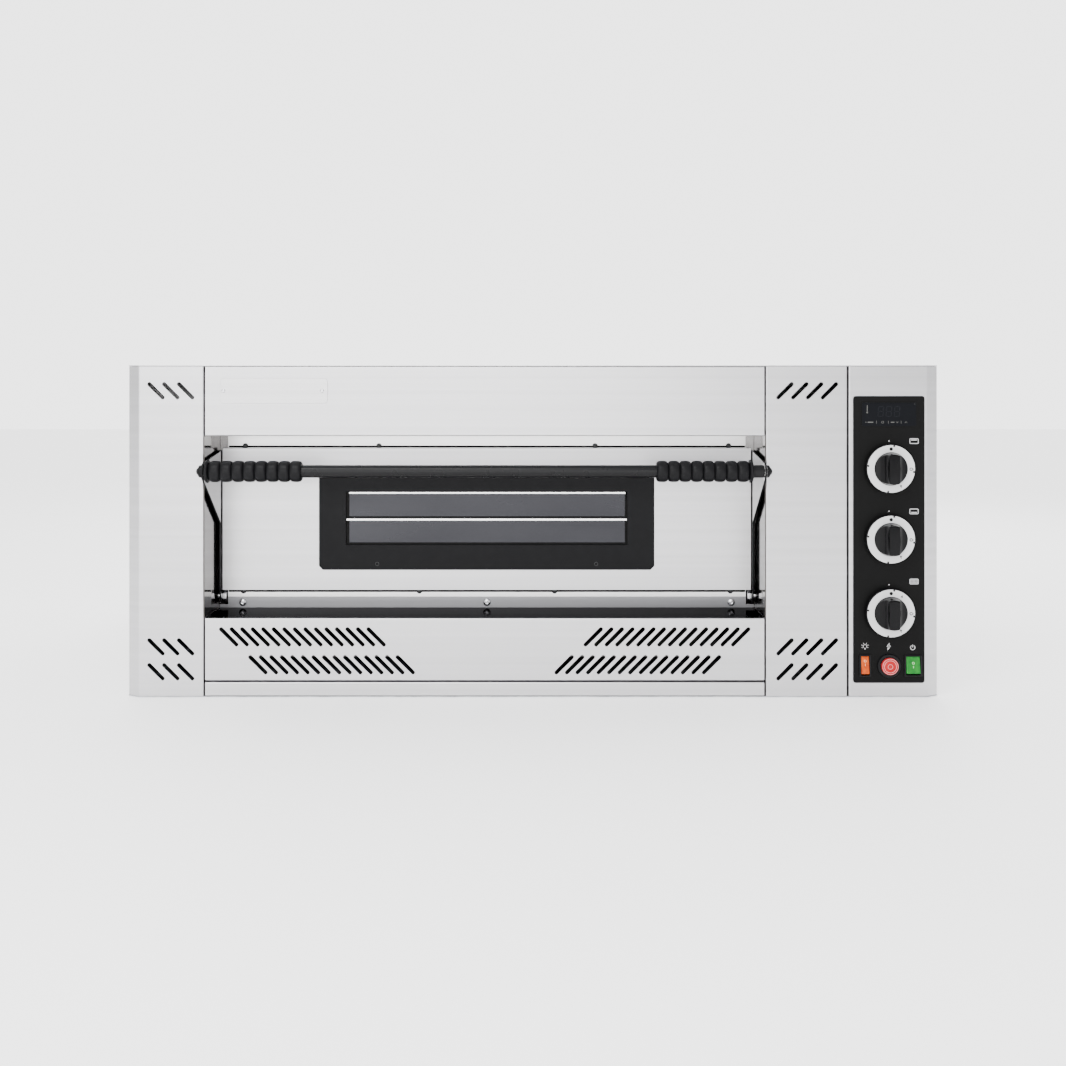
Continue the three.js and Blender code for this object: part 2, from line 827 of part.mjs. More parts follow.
function igniterBody() {
  const face = overlayFace - gap;
  return turned(
    "y",
    [
      [buttonRadius + gap, face - 3],
      [bezelRadius - 1.5, face - 3],
      [bezelRadius, face],
      [bezelRadius - 4, face],
      [bezelRadius - 4, frontY + 24],
      [buttonRadius + gap, frontY + 24],
    ],
    [knobX, 0, switchZ],
  );
}

function igniterButton() {
  const face = overlayFace - gap - 3;
  return rod("y", buttonRadius, [face - buttonTravel - 1.5, face + 10], [knobX, 0, switchZ]);
}

// ---- Door ----

const windowX = [bayMiddle - windowWidth / 2, bayMiddle + windowWidth / 2];
const windowZ = [windowBottom, windowBottom + windowHeight];
const doorX = [bayMiddle - doorHalf, bayMiddle + doorHalf];
const doorZ = [doorBottom, doorTop];
const wider = (span, by) => [span[0] - by, span[1] + by];

// The outer tray: a face with a window hole and four edges folded back.
function doorSkin() {
  const tray = block(doorX, [doorY, doorY + doorRim], doorZ);
  const inside = block(wider(doorX, -sheet), [doorY + sheet, doorY + doorRim + 1], wider(doorZ, -sheet));
  const recess = glassLap + gap;
  const hole = block(wider(windowX, recess), [doorY - 1, doorY + sheet + 1], wider(windowZ, recess));
  return cut(tray, inside, hole);
}

const plugX = [bayMiddle - mouthHalf + plugClearance, bayMiddle + mouthHalf - plugClearance];
const plugZ = [mouthBottom + plugClearance, mouthTop - plugClearance];
const plugBack = mouthY + plugDepth;

// The inner tray: a flange inside the outer tray, and a box that enters the mouth.
function doorLiner() {
  const flangeY = [doorY + doorRim - sheet, doorY + doorRim];
  const inner = sheet + gap;
  const flange = block(wider(doorX, -inner), flangeY, wider(doorZ, -inner));
  const plug = block(plugX, [flangeY[0], plugBack], plugZ);
  const hollow = block(wider(plugX, -sheet), [flangeY[0] - 1, plugBack - sheet], wider(plugZ, -sheet));
  const hole = block(windowX, [plugBack - sheet - 1, plugBack + 1], windowZ);
  return cut(joined(flange, plug), hollow, hole);
}

function windowFrame() {
  const x = wider(windowX, frameSideMargin);
  const z = [windowZ[0] - frameBottomMargin, windowZ[1] + frameTopMargin];
  const c = frameChamfer;
  const shape = outline([
    [x[0] + c, z[0]],
    [x[1] - c, z[0]],
    [x[1], z[0] + c],
    [x[1], z[1] - c],
    [x[1] - c, z[1]],
    [x[0] + c, z[1]],
    [x[0], z[1] - c],
    [x[0], z[0] + c],
  ]);
  const y = [doorY - gap - frameThickness, doorY - gap];
  return cut(frontPlate(shape, y), block(windowX, wider(y, 1), windowZ));
}

function windowGlass() {
  return block(wider(windowX, glassLap), [doorY, doorY + glassThickness], wider(windowZ, glassLap));
}

function innerGlass() {
  const back = plugBack - sheet - gap;
  return block(wider(windowX, glassLap), [back - glassThickness, back], wider(windowZ, glassLap));
}

// ---- Hinge, arms and handle ----

function hingePin(hand) {
  const wall = bayMiddle + hand * bayHalf;
  const inner = bayMiddle + hand * (armInner - gap);
  const outer = wall + hand * seam / 2;
  const order = (a, b) => [Math.min(a, b), Math.max(a, b)];
  const at = [0, pivotY, pivotHeight];
  const shaft = rod("x", pinRadius, order(inner - hand * 1, outer + hand * (gap + 1)), at);
  const nut = rod("x", pinRadius + 3.5, order(inner, inner - hand * 6), at, 6);
  const head = rod("x", pinRadius + 4, order(outer + hand * gap, outer + hand * 6), at, 6);
  return joined(shaft, nut, head);
}

// The angle at which a line from a point touches a circle, on its left (1) or right (-1).
function touching([centreU, centreV], radius, [u, v], side) {
  const towards = Math.atan2(v - centreV, u - centreU);
  const distance = Math.hypot(u - centreU, v - centreV);
  return towards + side * Math.acos(radius / distance);
}

// A flat bar beside the door from the hub to the top, with a gusset out to the handle.
function doorArm(hand) {
  const fromPivot = (forward, up) => [pivotY - forward, pivotHeight + up];
  const topLimit = doorTop - pivotHeight - 5;
  const hub = fromPivot(0, 0);
  const boss = fromPivot(handleReach, handleHeight);
  const gussetFoot = fromPivot(armFront, gussetHeight);
  const topCorner = fromPivot(armFront, topLimit);
  const shape = new THREE.Shape();
  shape.absarc(...hub, hubRadius, Math.acos(-armBack / hubRadius), -Math.PI, true);
  shape.lineTo(...fromPivot(armFront, hubRadius));
  shape.lineTo(...gussetFoot);
  const lower = touching(boss, handleBoss, gussetFoot, -1);
  const upper = touching(boss, handleBoss, topCorner, 1);
  shape.absarc(...boss, handleBoss, lower, upper, true);
  shape.lineTo(...topCorner);
  shape.lineTo(...fromPivot(armBack, topLimit));
  const x = [bayMiddle + hand * armInner, bayMiddle + hand * armOuter].sort((a, b) => a - b);
  const plate = sidePlate(shape, x);
  const hole = rod("x", pinRadius + runningFit, wider(x, 1), [0, pivotY, pivotHeight]);
  const spigot = rod("x", handleSpigot + gap, wider(x, 1), [0, handleY, handleZ]);
  return cut(plate, hole, spigot);
}

const handleAxis = [0, handleY, handleZ];

function handleBar() {
  const end = armInner - gap;
  const bar = rod("x", handleRadius, [bayMiddle - end, bayMiddle + end], handleAxis);
  const spigotEnd = armOuter + capLength / 2;
  const spigot = rod("x", handleSpigot, [bayMiddle - spigotEnd, bayMiddle + spigotEnd], handleAxis);
  return joined(bar, spigot);
}

function handleCap(hand) {
  const start = armOuter + gap;
  const bore = handleSpigot + gap;
  const depth = capLength / 2 + gap;
  const rim = 4;
  const dome = [0, 0.35, 0.7].map((share) => {
    const angle = (share * Math.PI) / 2;
    return [handleRadius * Math.cos(angle), start + rim + (capLength - rim) * Math.sin(angle)];
  });
  const profile = [
    [bore, start],
    [handleRadius, start],
    ...dome,
    [0, start + capLength],
    [0, start + depth],
    [bore, start + depth],
  ];
  const places = profile.map(([radius, along]) => [radius, bayMiddle + hand * along]);
  return turned("x", places, handleAxis);
}

// A loose sleeve of round beads with a thin flange at its outer end.
function handleGrip(hand) {
  const bore = handleRadius + gripFit;
  const outerEnd = armInner - gap - 1 - (hand > 0 ? rightGripSetback : 0);
  const flangeEnd = outerEnd - flangeThickness;
  const profile = [
    [bore, outerEnd],
    [flangeRadius - 1.5, outerEnd],
    [flangeRadius, outerEnd - 1.5],
    [flangeRadius, flangeEnd + 1.5],
    [beadValley, flangeEnd],
  ];
  for (let bead = 0; bead < beadCount; bead++) {
    const start = flangeEnd - bead * beadPitch;
    const bulge = beadRadius - beadValley;
    [0.2, 0.5, 0.8].forEach((share) => {
      profile.push([beadValley + bulge * Math.sqrt(Math.sin(share * Math.PI)), start - share * beadPitch]);
    });
    profile.push([beadValley, start - beadPitch]);
  }
  profile.push([bore, flangeEnd - beadCount * beadPitch]);
  const places = profile.map(([radius, along]) => [radius, bayMiddle + hand * along]);
  return turned("x", places, handleAxis, 16);
}

// ---- Assembly ----

const oven = new THREE.Group();

function mesh(name, made, finish) {
  const data = made.getMesh();
  const geometry = new THREE.BufferGeometry();
  geometry.setAttribute("position", new THREE.BufferAttribute(data.vertProperties, 3));
  geometry.setIndex(new THREE.BufferAttribute(data.triVerts, 1));
  geometry.computeVertexNormals();
  const piece = new THREE.Mesh(geometry, new THREE.MeshStandardMaterial(finishes[finish]));
  piece.name = name;
  return piece;
}

function addAll(pieces) {
  const group = new THREE.Group();
  pieces.forEach(([name, made, finish]) => group.add(mesh(name, made, finish)));
  oven.add(group);
}

addAll([
  ["base_pan", basePan(), "galvanised"],
  ["left_casing", leftCasing(), "steel"],
  ["right_casing", rightCasing(), "steel"],
  ["vent_column", ventColumnPanel(), "steel"],
  ["header_panel", headerPanel(), "steel"],
  ["lower_grille", lowerGrille(), "steel"],
  ["plinth", plinth(), "steel"],
  ["top_cover", topCover(), "steel"],
  ["rear_panel", rearPanel(), "galvanised"],
  ["name_plate", namePlate(), "steel"],
]);

addAll([
  ["bay_cheek_left", bayCheek(-1), "polished"],
  ["bay_cheek_right", bayCheek(1), "polished"],
  ["mouth_frame", mouthFrame(), "steel"],
  ["sill_bar", sillBar(), "steel"],
  ["chamber_shell", chamberShell(), "galvanised"],
  ["stone_left", stone(0), "stone"],
  ["stone_right", stone(1), "stone"],
  ["insulation_wrap", insulationWrap(), "wool"],
  ["insulation_back", insulationBack(), "wool"],
  ["flue_spigot", flueSpigot(), "galvanised"],
  ["lamp_housing", lampHousing(), "galvanised"],
  ["lamp_glass", lampGlass(), "glass"],
]);

addAll([
  ...burners.map((place) => [place.name + "_burner", burner(place), "galvanised"]),
  ["gas_manifold", gasManifold(), "galvanised"],
  ["gas_inlet", gasInlet(), "brass"],
  ["cable_gland", cableGland(), "blackPlastic"],
]);

const knobPlaces = [
  ["top", topKnobZ],
  ["middle", middleKnobZ],
  ["bottom", bottomKnobZ],
];
addAll(
  knobPlaces.flatMap(([name, z]) => [
    [name + "_valve_body", valveBody(z), "brass"],
    [name + "_valve_plug", valvePlug(z), "brass"],
    [name + "_knob", knob(z), "blackPlastic"],
  ]),
);

addAll([
  ["control_overlay", controlOverlay(), "blackPlastic"],
  ["display_lens", displayLens(), "glass"],
  ["controller_box", controllerBox(), "blackPlastic"],
  ...switchSizes.map((size) => [size.name + "_switch_body", switchBody(size), "blackPlastic"]),
  ...switchSizes.map((size) => [size.name + "_rocker", rocker(size), size.finish]),
  ["igniter_body", igniterBody(), "blackPlastic"],
  ["igniter_button", igniterButton(), "red"],
]);

addAll([
  ["door_skin", doorSkin(), "steel"],
  ["door_liner", doorLiner(), "galvanised"],
  ["window_frame", windowFrame(), "black"],
  ["window_glass", windowGlass(), "glass"],
  ["inner_glass", innerGlass(), "glass"],
  ["hinge_pin_left", hingePin(-1), "polished"],
  ["hinge_pin_right", hingePin(1), "polished"],
  ["door_arm_left", doorArm(-1), "black"],
  ["door_arm_right", doorArm(1), "black"],
  ["handle_bar", handleBar(), "black"],
  ["handle_cap_left", handleCap(-1), "black"],
  ["handle_cap_right", handleCap(1), "black"],
  ["handle_grip_left", handleGrip(-1), "black"],
  ["handle_grip_right", handleGrip(1), "black"],
]);

export default oven;
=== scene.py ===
import bpy
import math
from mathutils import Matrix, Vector


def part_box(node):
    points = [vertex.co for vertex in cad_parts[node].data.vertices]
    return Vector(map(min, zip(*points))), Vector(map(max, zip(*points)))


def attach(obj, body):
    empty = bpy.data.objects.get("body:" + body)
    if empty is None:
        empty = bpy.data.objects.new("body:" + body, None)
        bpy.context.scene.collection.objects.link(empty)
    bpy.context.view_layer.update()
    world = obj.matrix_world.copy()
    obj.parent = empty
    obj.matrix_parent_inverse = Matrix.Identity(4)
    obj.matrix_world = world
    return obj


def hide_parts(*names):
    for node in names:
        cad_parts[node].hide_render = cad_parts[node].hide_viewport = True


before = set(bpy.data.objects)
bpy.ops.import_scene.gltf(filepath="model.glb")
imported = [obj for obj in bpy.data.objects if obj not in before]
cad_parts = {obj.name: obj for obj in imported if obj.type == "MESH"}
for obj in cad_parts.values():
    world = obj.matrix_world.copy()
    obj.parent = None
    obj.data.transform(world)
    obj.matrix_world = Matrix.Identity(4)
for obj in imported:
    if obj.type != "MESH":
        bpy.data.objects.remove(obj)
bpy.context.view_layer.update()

# Studio. A white light table that the oven stands on, a bright, even room, and
# three soft lights: a key from above the left front, a fill, and one from behind.
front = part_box("base_pan")[0].y
eye_distance = 2.05
eye_height = 0.501
view_width = 1.711
view_middle = 0.2637
bpy.ops.object.camera_add(location=(0, front - eye_distance, eye_height), rotation=(math.pi / 2, 0, 0))
camera = bpy.context.object
camera.data.sensor_width = 36
camera.data.lens = 36 * eye_distance / view_width
camera.data.shift_y = (view_middle - eye_height) / view_width
bpy.context.scene.camera = camera


def dial(made, socket, value):
    """Sets one socket of the material's shader."""
    made.node_tree.nodes["Principled BSDF"].inputs[socket].default_value = value


def material(name, color, roughness, metallic=0.0):
    made = bpy.data.materials.new(name)
    made.use_nodes = True
    dial(made, "Base Color", (*color, 1))
    dial(made, "Roughness", roughness)
    dial(made, "Metallic", metallic)
    return made


def grain(made, scale, detail=4.0):
    """A noise over the piece's own coordinates, finer along the axes where scale is larger."""
    nodes, links = made.node_tree.nodes, made.node_tree.links
    place = nodes.new("ShaderNodeTexCoord")
    mapping = nodes.new("ShaderNodeMapping")
    mapping.inputs["Scale"].default_value = scale
    noise = nodes.new("ShaderNodeTexNoise")
    noise.inputs["Scale"].default_value = 1.0
    noise.inputs["Detail"].default_value = detail
    links.new(place.outputs["Object"], mapping.inputs["Vector"])
    links.new(mapping.outputs["Vector"], noise.inputs["Vector"])
    return noise.outputs["Fac"]


def roughen(made, factor, low, high):
    """The factor, from 0.3 to 0.7, runs the roughness from low to high."""
    nodes, links = made.node_tree.nodes, made.node_tree.links
    span = nodes.new("ShaderNodeMapRange")
    for socket, value in (("From Min", 0.3), ("From Max", 0.7), ("To Min", low), ("To Max", high)):
        span.inputs[socket].default_value = value
    links.new(factor, span.inputs["Value"])
    links.new(span.outputs["Result"], nodes["Principled BSDF"].inputs["Roughness"])


def tint(made, factor, dark, light):
    """The factor, from 0.3 to 0.7, runs the base colour from dark to light."""
    nodes, links = made.node_tree.nodes, made.node_tree.links
    ramp = nodes.new("ShaderNodeValToRGB")
    start, end = ramp.color_ramp.elements
    start.position, start.color = 0.3, (*dark, 1)
    end.position, end.color = 0.7, (*light, 1)
    links.new(factor, ramp.inputs["Fac"])
    links.new(ramp.outputs["Color"], nodes["Principled BSDF"].inputs["Base Color"])


def relief(made, factor, strength, depth):
    nodes, links = made.node_tree.nodes, made.node_tree.links
    bump = nodes.new("ShaderNodeBump")
    bump.inputs["Strength"].default_value = strength
    bump.inputs["Distance"].default_value = depth
    links.new(factor, bump.inputs["Height"])
    links.new(bump.outputs["Normal"], nodes["Principled BSDF"].inputs["Normal"])


def textured(name, base, roughness, scale, detail=4.0, metallic=0.0, specular=0.5, tones=None, bumps=None):
    """One noise runs the roughness through its range and, if given, the tones and the bumps."""
    made = material(name, base, roughness[0], metallic)
    dial(made, "Specular IOR Level", specular)
    noise = grain(made, scale, detail)
    roughen(made, noise, *roughness)
    if tones:
        tint(made, noise, *tones)
    if bumps:
        relief(made, noise, *bumps)
    return made


floor_paint = textured("floor_paint", (0.94, 0.94, 0.94), (0.55, 0.65), (2, 2, 2))
dial(floor_paint, "Emission Color", (1, 1, 1, 1))
dial(floor_paint, "Emission Strength", 0.8)
bpy.ops.mesh.primitive_plane_add(size=24, location=(0, 0, -0.0004))
floor = bpy.context.object
floor.name = "floor"
floor.data.materials.append(floor_paint)

room = bpy.data.worlds.new("room")
bpy.context.scene.world = room
room.use_nodes = True
room_nodes, room_links = room.node_tree.nodes, room.node_tree.links
direction = room_nodes.new("ShaderNodeTexCoord")
parts = room_nodes.new("ShaderNodeSeparateXYZ")
depth_tone = room_nodes.new("ShaderNodeValToRGB")
near, far = depth_tone.color_ramp.elements
near.position, near.color = 0.0, (0.40, 0.40, 0.405, 1)
far.position, far.color = 0.55, (1.0, 1.0, 1.0, 1)
room_links.new(direction.outputs["Generated"], parts.inputs["Vector"])
room_links.new(parts.outputs["Y"], depth_tone.inputs["Fac"])
room_links.new(depth_tone.outputs["Color"], room_nodes["Background"].inputs["Color"])
room_nodes["Background"].inputs["Strength"].default_value = 3.4


def soft_light(name, place, aim, size, power):
    bpy.ops.object.light_add(type="AREA", location=place)
    light = bpy.context.object
    light.name = name
    light.data.shape = "RECTANGLE"
    light.data.size, light.data.size_y = size
    light.data.energy = power
    light.rotation_euler = (Vector(aim) - Vector(place)).to_track_quat("-Z", "Y").to_euler()


oven_middle = (0, 0, 0.27)
soft_light("key", (-0.6, front - 1.3, 2.1), oven_middle, (1.6, 0.9), 42)
soft_light("fill", (-0.8, front - 3.4, 1.2), oven_middle, (3.2, 2.0), 100)
soft_light("back", (0.6, 2.6, 1.9), oven_middle, (1.8, 1.0), 60)

# Base pan. One flat galvanised sheet under everything; the casings and front
# panels stand on it. It is the zinc-coated steel of all the hidden sheet work.
zinc_tones = ((0.40, 0.41, 0.43), (0.60, 0.61, 0.63))
zinc = textured("zinc_sheet", (0.5, 0.51, 0.53), (0.32, 0.5), (60, 60, 60), 2, 0.9, tones=zinc_tones)


def finish_cad(finish, *nodes):
    """Gives kept frame nodes their finish."""
    for node in nodes:
        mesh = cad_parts[node].data
        mesh.materials.clear()
        mesh.materials.append(finish)


finish_cad(zinc, "base_pan")

# Side casings. Each is one brushed stainless sheet folded into the side wall,
# the bevelled corner and the front column; vent slots are punched in the left one.
sheet_metal = 0.0015
bend = 0.0022
bevel_width = 0.019
bevel_depth = 0.012
fold = 0.020


def enter(mode):
    bpy.ops.object.mode_set(mode=mode)


def activate(piece):
    bpy.ops.object.select_all(action="DESELECT")
    piece.select_set(True)
    bpy.context.view_layer.objects.active = piece


def made_firm(piece):
    """Applies the piece's modifiers and puts its place into its mesh."""
    activate(piece)
    for modifier in list(piece.modifiers):
        bpy.ops.object.modifier_apply(modifier=modifier.name)
    bpy.ops.object.transform_apply(location=True, rotation=True, scale=True)
    return piece


def settle(piece, body, slot, finish, *stands_for, angle=35):
    """The finished piece gets its shading, finish, body and the nodes it stands for; the slot is not used."""
    made_firm(piece)
    if finish is not None:
        piece.data.materials.clear()
        piece.data.materials.append(finish)
    bpy.ops.object.shade_smooth_by_angle(angle=math.radians(angle))
    level = piece.modifiers.new("level", "WEIGHTED_NORMAL")
    level.keep_sharp = True
    bpy.ops.object.modifier_apply(modifier=level.name)
    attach(piece, body)
    if stands_for:
        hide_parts(*stands_for)
    return piece


def rounded(piece, width, segments=2, angle=30):
    edges = piece.modifiers.new("rounded", "BEVEL")
    edges.width = width
    edges.segments = segments
    edges.limit_method = "ANGLE"
    edges.angle_limit = math.radians(angle)
    return piece


def folded_sheet(name, corners, along, span, outward):
    """A sheet folded along a line of corners, which is its outer face; its first face looks outward."""
    def place(corner, reach):
        return Vector((*corner, reach)) if along == "z" else Vector((reach, *corner))

    bpy.ops.mesh.primitive_plane_add(size=1)
    sheet = bpy.context.object
    sheet.name = name
    for vertex, (corner, reach) in enumerate([(0, 0), (0, 1), (1, 0), (1, 1)]):
        sheet.data.vertices[vertex].co = place(corners[corner], span[reach])
    if sheet.data.polygons[0].normal.dot(Vector(outward)) < 0:
        sheet.data.flip_normals()
    for vertex in sheet.data.vertices:
        vertex.select = vertex.index > 1
    for edge in sheet.data.edges:
        edge.select = set(edge.vertices) == {2, 3}
    sheet.data.polygons[0].select = False
    enter("EDIT")
    bpy.ops.mesh.select_mode(type="EDGE")
    for before, after in zip(corners[1:], corners[2:]):
        step = place(after, 0) - place(before, 0)
        bpy.ops.mesh.extrude_region_move(TRANSFORM_OT_translate={"value": step})
    enter("OBJECT")
    rounded(sheet, bend, 4, 10)
    made_firm(sheet)
    wall = sheet.modifiers.new("wall", "SOLIDIFY")
    wall.thickness = sheet_metal
    wall.offset = -1
    made_firm(sheet)
    rounded(sheet, 0.0003, 1, 60)
    return made_firm(sheet)


def cut(piece, cutter, operation="DIFFERENCE"):
    made_firm(cutter)
    made_firm(piece)
    tool = piece.modifiers.new("cut", "BOOLEAN")
    tool.object = cutter
    tool.operation = operation
    tool.solver = "EXACT"
    made_firm(piece)
    bpy.data.objects.remove(cutter)
    return piece


def stretch(piece, is_moved, way):
    """Moves the piece's points that is_moved picks out."""
    activate(piece)
    enter("EDIT")
    bpy.ops.mesh.select_mode(type="VERT")
    bpy.ops.mesh.select_all(action="DESELECT")
    enter("OBJECT")
    for vertex in piece.data.vertices:
        vertex.select = is_moved(vertex.co)
    enter("EDIT")
    bpy.ops.transform.translate(value=way)
    enter("OBJECT")


slot_width = 0.0068
slot_ends = 16


def slot_row(first, run, lean, count, pitch):
    """A punch for a row of slots at 45 degrees: lean 1 is up to the right, and -1 up to the left."""
    centre = Vector((first[0] - lean * run / 2, front, first[1] - run / 2))
    bpy.ops.mesh.primitive_cylinder_add(
        radius=slot_width / 2, depth=0.012, vertices=slot_ends, location=centre, rotation=(math.pi / 2, 0, 0)
    )
    punch = made_firm(bpy.context.object)
    way = Vector((lean, 0, 1)) * run
    stretch(punch, lambda point: (point - centre).dot(way) > -1e-9, way)
    copies = punch.modifiers.new("row", "ARRAY")
    copies.use_relative_offset = False
    copies.use_constant_offset = True
    copies.constant_offset_displace = (pitch, 0, 0)
    copies.count = count
    return made_firm(punch)


def brushed_steel(name, across, base=(0.53, 0.526, 0.535), roughness=(0.30, 0.40)):
    """Stainless sheet brushed at right angles to the axis called across."""
    made = material(name, base, 0.35, 1.0)
    fine = [1.2, 1.2, 1.2]
    fine["xyz".index(across)] = 900
    broad = [0.5, 0.5, 0.5]
    broad["xyz".index(across)] = 120
    brushing = grain(made, fine, 5)
    bands = grain(made, broad, 3)
    roughen(made, brushing, *roughness)
    tint(made, bands, [c * 0.95 for c in base], [c * 1.05 for c in base])
    relief(made, brushing, 0.12, 0.00006)
    return made


level_brushed = brushed_steel("level_brushed_steel", "z")
column_run = 0.0213
column_pitch = 0.0238


def casing_corners(node, hand, edge):
    low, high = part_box(node)
    side = high.x if hand > 0 else low.x
    return [
        (side - hand * fold, high.y), (side, high.y), (side, low.y + bevel_depth),
        (side - hand * bevel_width, low.y), (edge, low.y), (edge, low.y + fold),
    ]


left_low, left_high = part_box("left_casing")
wall_span = (left_low.z, left_high.z)
left_corners = casing_corners("left_casing", -1, left_high.x)
left_casing = folded_sheet("left_casing_shell", left_corners, "z", wall_span, (0, 1, 0))
casing_slot_inset = 0.0333
slot_heights = (0.041, 0.081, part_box("top_cover")[1].z - 0.041)
for slot_height in slot_heights:
    first_slot = left_low.x + casing_slot_inset + (column_run + slot_width) / 2
    cut(left_casing, slot_row((first_slot, slot_height), column_run, -1, 3, column_pitch))
settle(left_casing, "cabinet", "brushed_steel", level_brushed, "left_casing")

right_corners = casing_corners("right_casing", 1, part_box("right_casing")[0].x)
right_casing = folded_sheet("right_casing_shell", right_corners, "z", wall_span, (0, 1, 0))


def block(name, low, high, edge=0.0006, segments=2):
    size = [b - a for a, b in zip(low, high)]
    centre = [(a + b) / 2 for a, b in zip(low, high)]
    bpy.ops.mesh.primitive_cube_add(size=1, location=centre, scale=size)
    piece = made_firm(bpy.context.object)
    piece.name = name
    if edge:
        rounded(piece, edge, segments)
        made_firm(piece)
    return piece


# Behind the overlay the column has one large opening for the controls.
overlay_low, overlay_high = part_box("control_overlay")
overlay_lap = 0.005
opening = block(
    "opening",
    (overlay_low.x + overlay_lap, front - 0.01, overlay_low.z + overlay_lap),
    (overlay_high.x - overlay_lap, front + 0.01, overlay_high.z - overlay_lap),
)
cut(right_casing, opening)
settle(right_casing, "cabinet", "brushed_steel", level_brushed, "right_casing")

# Vent column. A brushed channel between the door bay and the controls, with
# three rows of slots that let the control compartment breathe.
vent_low, vent_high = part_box("vent_column")
vent_column = folded_sheet(
    "vent_column_panel",
    [(vent_low.x, front + fold), (vent_low.x, front), (vent_high.x, front), (vent_high.x, front + fold)],
    "z", wall_span, (-1, 0, 0),
)
vent_slot_inset = 0.0167
for slot_height in slot_heights:
    first_slot = vent_low.x + vent_slot_inset + (column_run + slot_width) / 2
    cut(vent_column, slot_row((first_slot, slot_height), column_run, 1, 4, column_pitch))
settle(vent_column, "cabinet", "brushed_steel", level_brushed, "vent_column")

# Header panel. The brushed front over the door, folded back at the bottom
# into the bay's ceiling and at the top under the cover.
header_low, header_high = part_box("header_panel")
bay_span = (header_low.x, header_high.x)


def cross_panel(name, node, foot_back, top_back):
    """A front panel right across the bay, folded back along its foot and its top."""
    low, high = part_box(node)
    corners = [(foot_back, low.z), (front, low.z), (front, high.z), (top_back, high.z)]
    return folded_sheet(name, corners, "x", bay_span, (0, 0, -1))


header = cross_panel("header_front", "header_panel", header_high.y, front + fold)
settle(header, "cabinet", "brushed_steel", level_brushed, "header_panel")

# Lower grille. The brushed front under the door with four groups of slots for
# the burners' air; its top folds back into the polished shelf before the sill.
grille_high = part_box("lower_grille")[1]
grille = cross_panel("lower_grille_front", "lower_grille", front + fold, grille_high.y)
grille_run = 0.0245
grille_pitch = 0.0169
slots_in_row = 15
for row_height, inset in ((0.097, 0.0223), (0.0523, 0.0691)):
    start = inset + (grille_run + slot_width) / 2
    cut(grille, slot_row((bay_span[0] + start, row_height), grille_run, -1, slots_in_row, grille_pitch))
    cut(grille, slot_row((bay_span[1] - start, row_height), grille_run, 1, slots_in_row, -grille_pitch))
# The shelf's polished steel gets a near-black base and a dark edge tint: a painted reflection of a dark room,
# so it reads dark from every side.
shelf_painted_dark_steel = textured("shelf_steel_painted_reflection", (0.085, 0.083, 0.087), (0.04, 0.11), (6, 40, 40), 3, 1.0)
dial(shelf_painted_dark_steel, "Specular Tint", (0.2, 0.2, 0.2, 1))
grille.data.materials.append(level_brushed)
grille.data.materials.append(shelf_painted_dark_steel)
for face in grille.data.polygons:
    if face.normal.z > 0.9 and face.center.z > grille_high.z - 0.001:
        face.material_index = 1
settle(grille, "cabinet", "brushed_steel", None, "lower_grille")

# Plinth. A narrow brushed strip, folded back along both edges, that closes the
# front below the grille.
plinth = cross_panel("plinth_strip", "plinth", front + fold, front + fold)
settle(plinth, "cabinet", "brushed_steel", level_brushed, "plinth")

# Top cover. A flat brushed sheet on the casings, with rounded edges, fixed by
# pan-head screws that sit in shallow wells along both sides.


def outline_plate(name, outline, along, span, edge=0.0003):
    """A flat plate: the outline's points lie in the plane across the axis called along."""
    bpy.ops.mesh.primitive_circle_add(vertices=len(outline), fill_type="NGON")
    plate = bpy.context.object
    plate.name = name
    for vertex, (u, v) in zip(plate.data.vertices, outline):
        vertex.co = (u, span[0], v) if along == "y" else (u, v, span[0])
    plate.data.update()
    way = Vector([axis == along for axis in "xyz"]) * (span[1] - span[0])
    if plate.data.polygons[0].normal.dot(way) > 0:
        plate.data.flip_normals()
    enter("EDIT")
    bpy.ops.mesh.select_all(action="SELECT")
    bpy.ops.mesh.extrude_region_move(TRANSFORM_OT_translate={"value": way})
    bpy.ops.mesh.select_all(action="SELECT")
    bpy.ops.mesh.normals_make_consistent(inside=False)
    enter("OBJECT")
    if edge:
        rounded(plate, edge, 2)
    return made_firm(plate)


lengthways_brushed = brushed_steel("lengthways_brushed_steel", "x")
top_low, top_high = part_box("top_cover")
cover = outline_plate(
    "top_cover_sheet",
    [
        (top_low.x + bevel_width, top_low.y), (top_high.x - bevel_width, top_low.y),
        (top_high.x, top_low.y + bevel_depth), (top_high.x, top_high.y), (top_low.x, top_high.y),
        (top_low.x, top_low.y + bevel_depth),
    ],
    "z", (top_low.z, top_high.z), 0.0005,
)
side_inset = 0.045
first_screw, screw_pitch = 0.16, 0.18
screw_radius = 0.0045
screw_rise = screw_radius * 0.55
well_depth = 0.0011
screw_foot = top_high.z - screw_rise - 0.0001
cover_places = [
    (side * (top_high.x - side_inset), top_low.y + first_screw + step * screw_pitch, screw_foot)
    for side in (-1, 1)
    for step in range(4)
]
for x, y, z in cover_places:
    bpy.ops.mesh.primitive_cylinder_add(
        radius=screw_radius + 0.0008, depth=2 * well_depth, vertices=32, location=(x, y, top_high.z)
    )
    cut(cover, bpy.context.object)
settle(cover, "cabinet", "brushed_steel", lengthways_brushed, "top_cover")


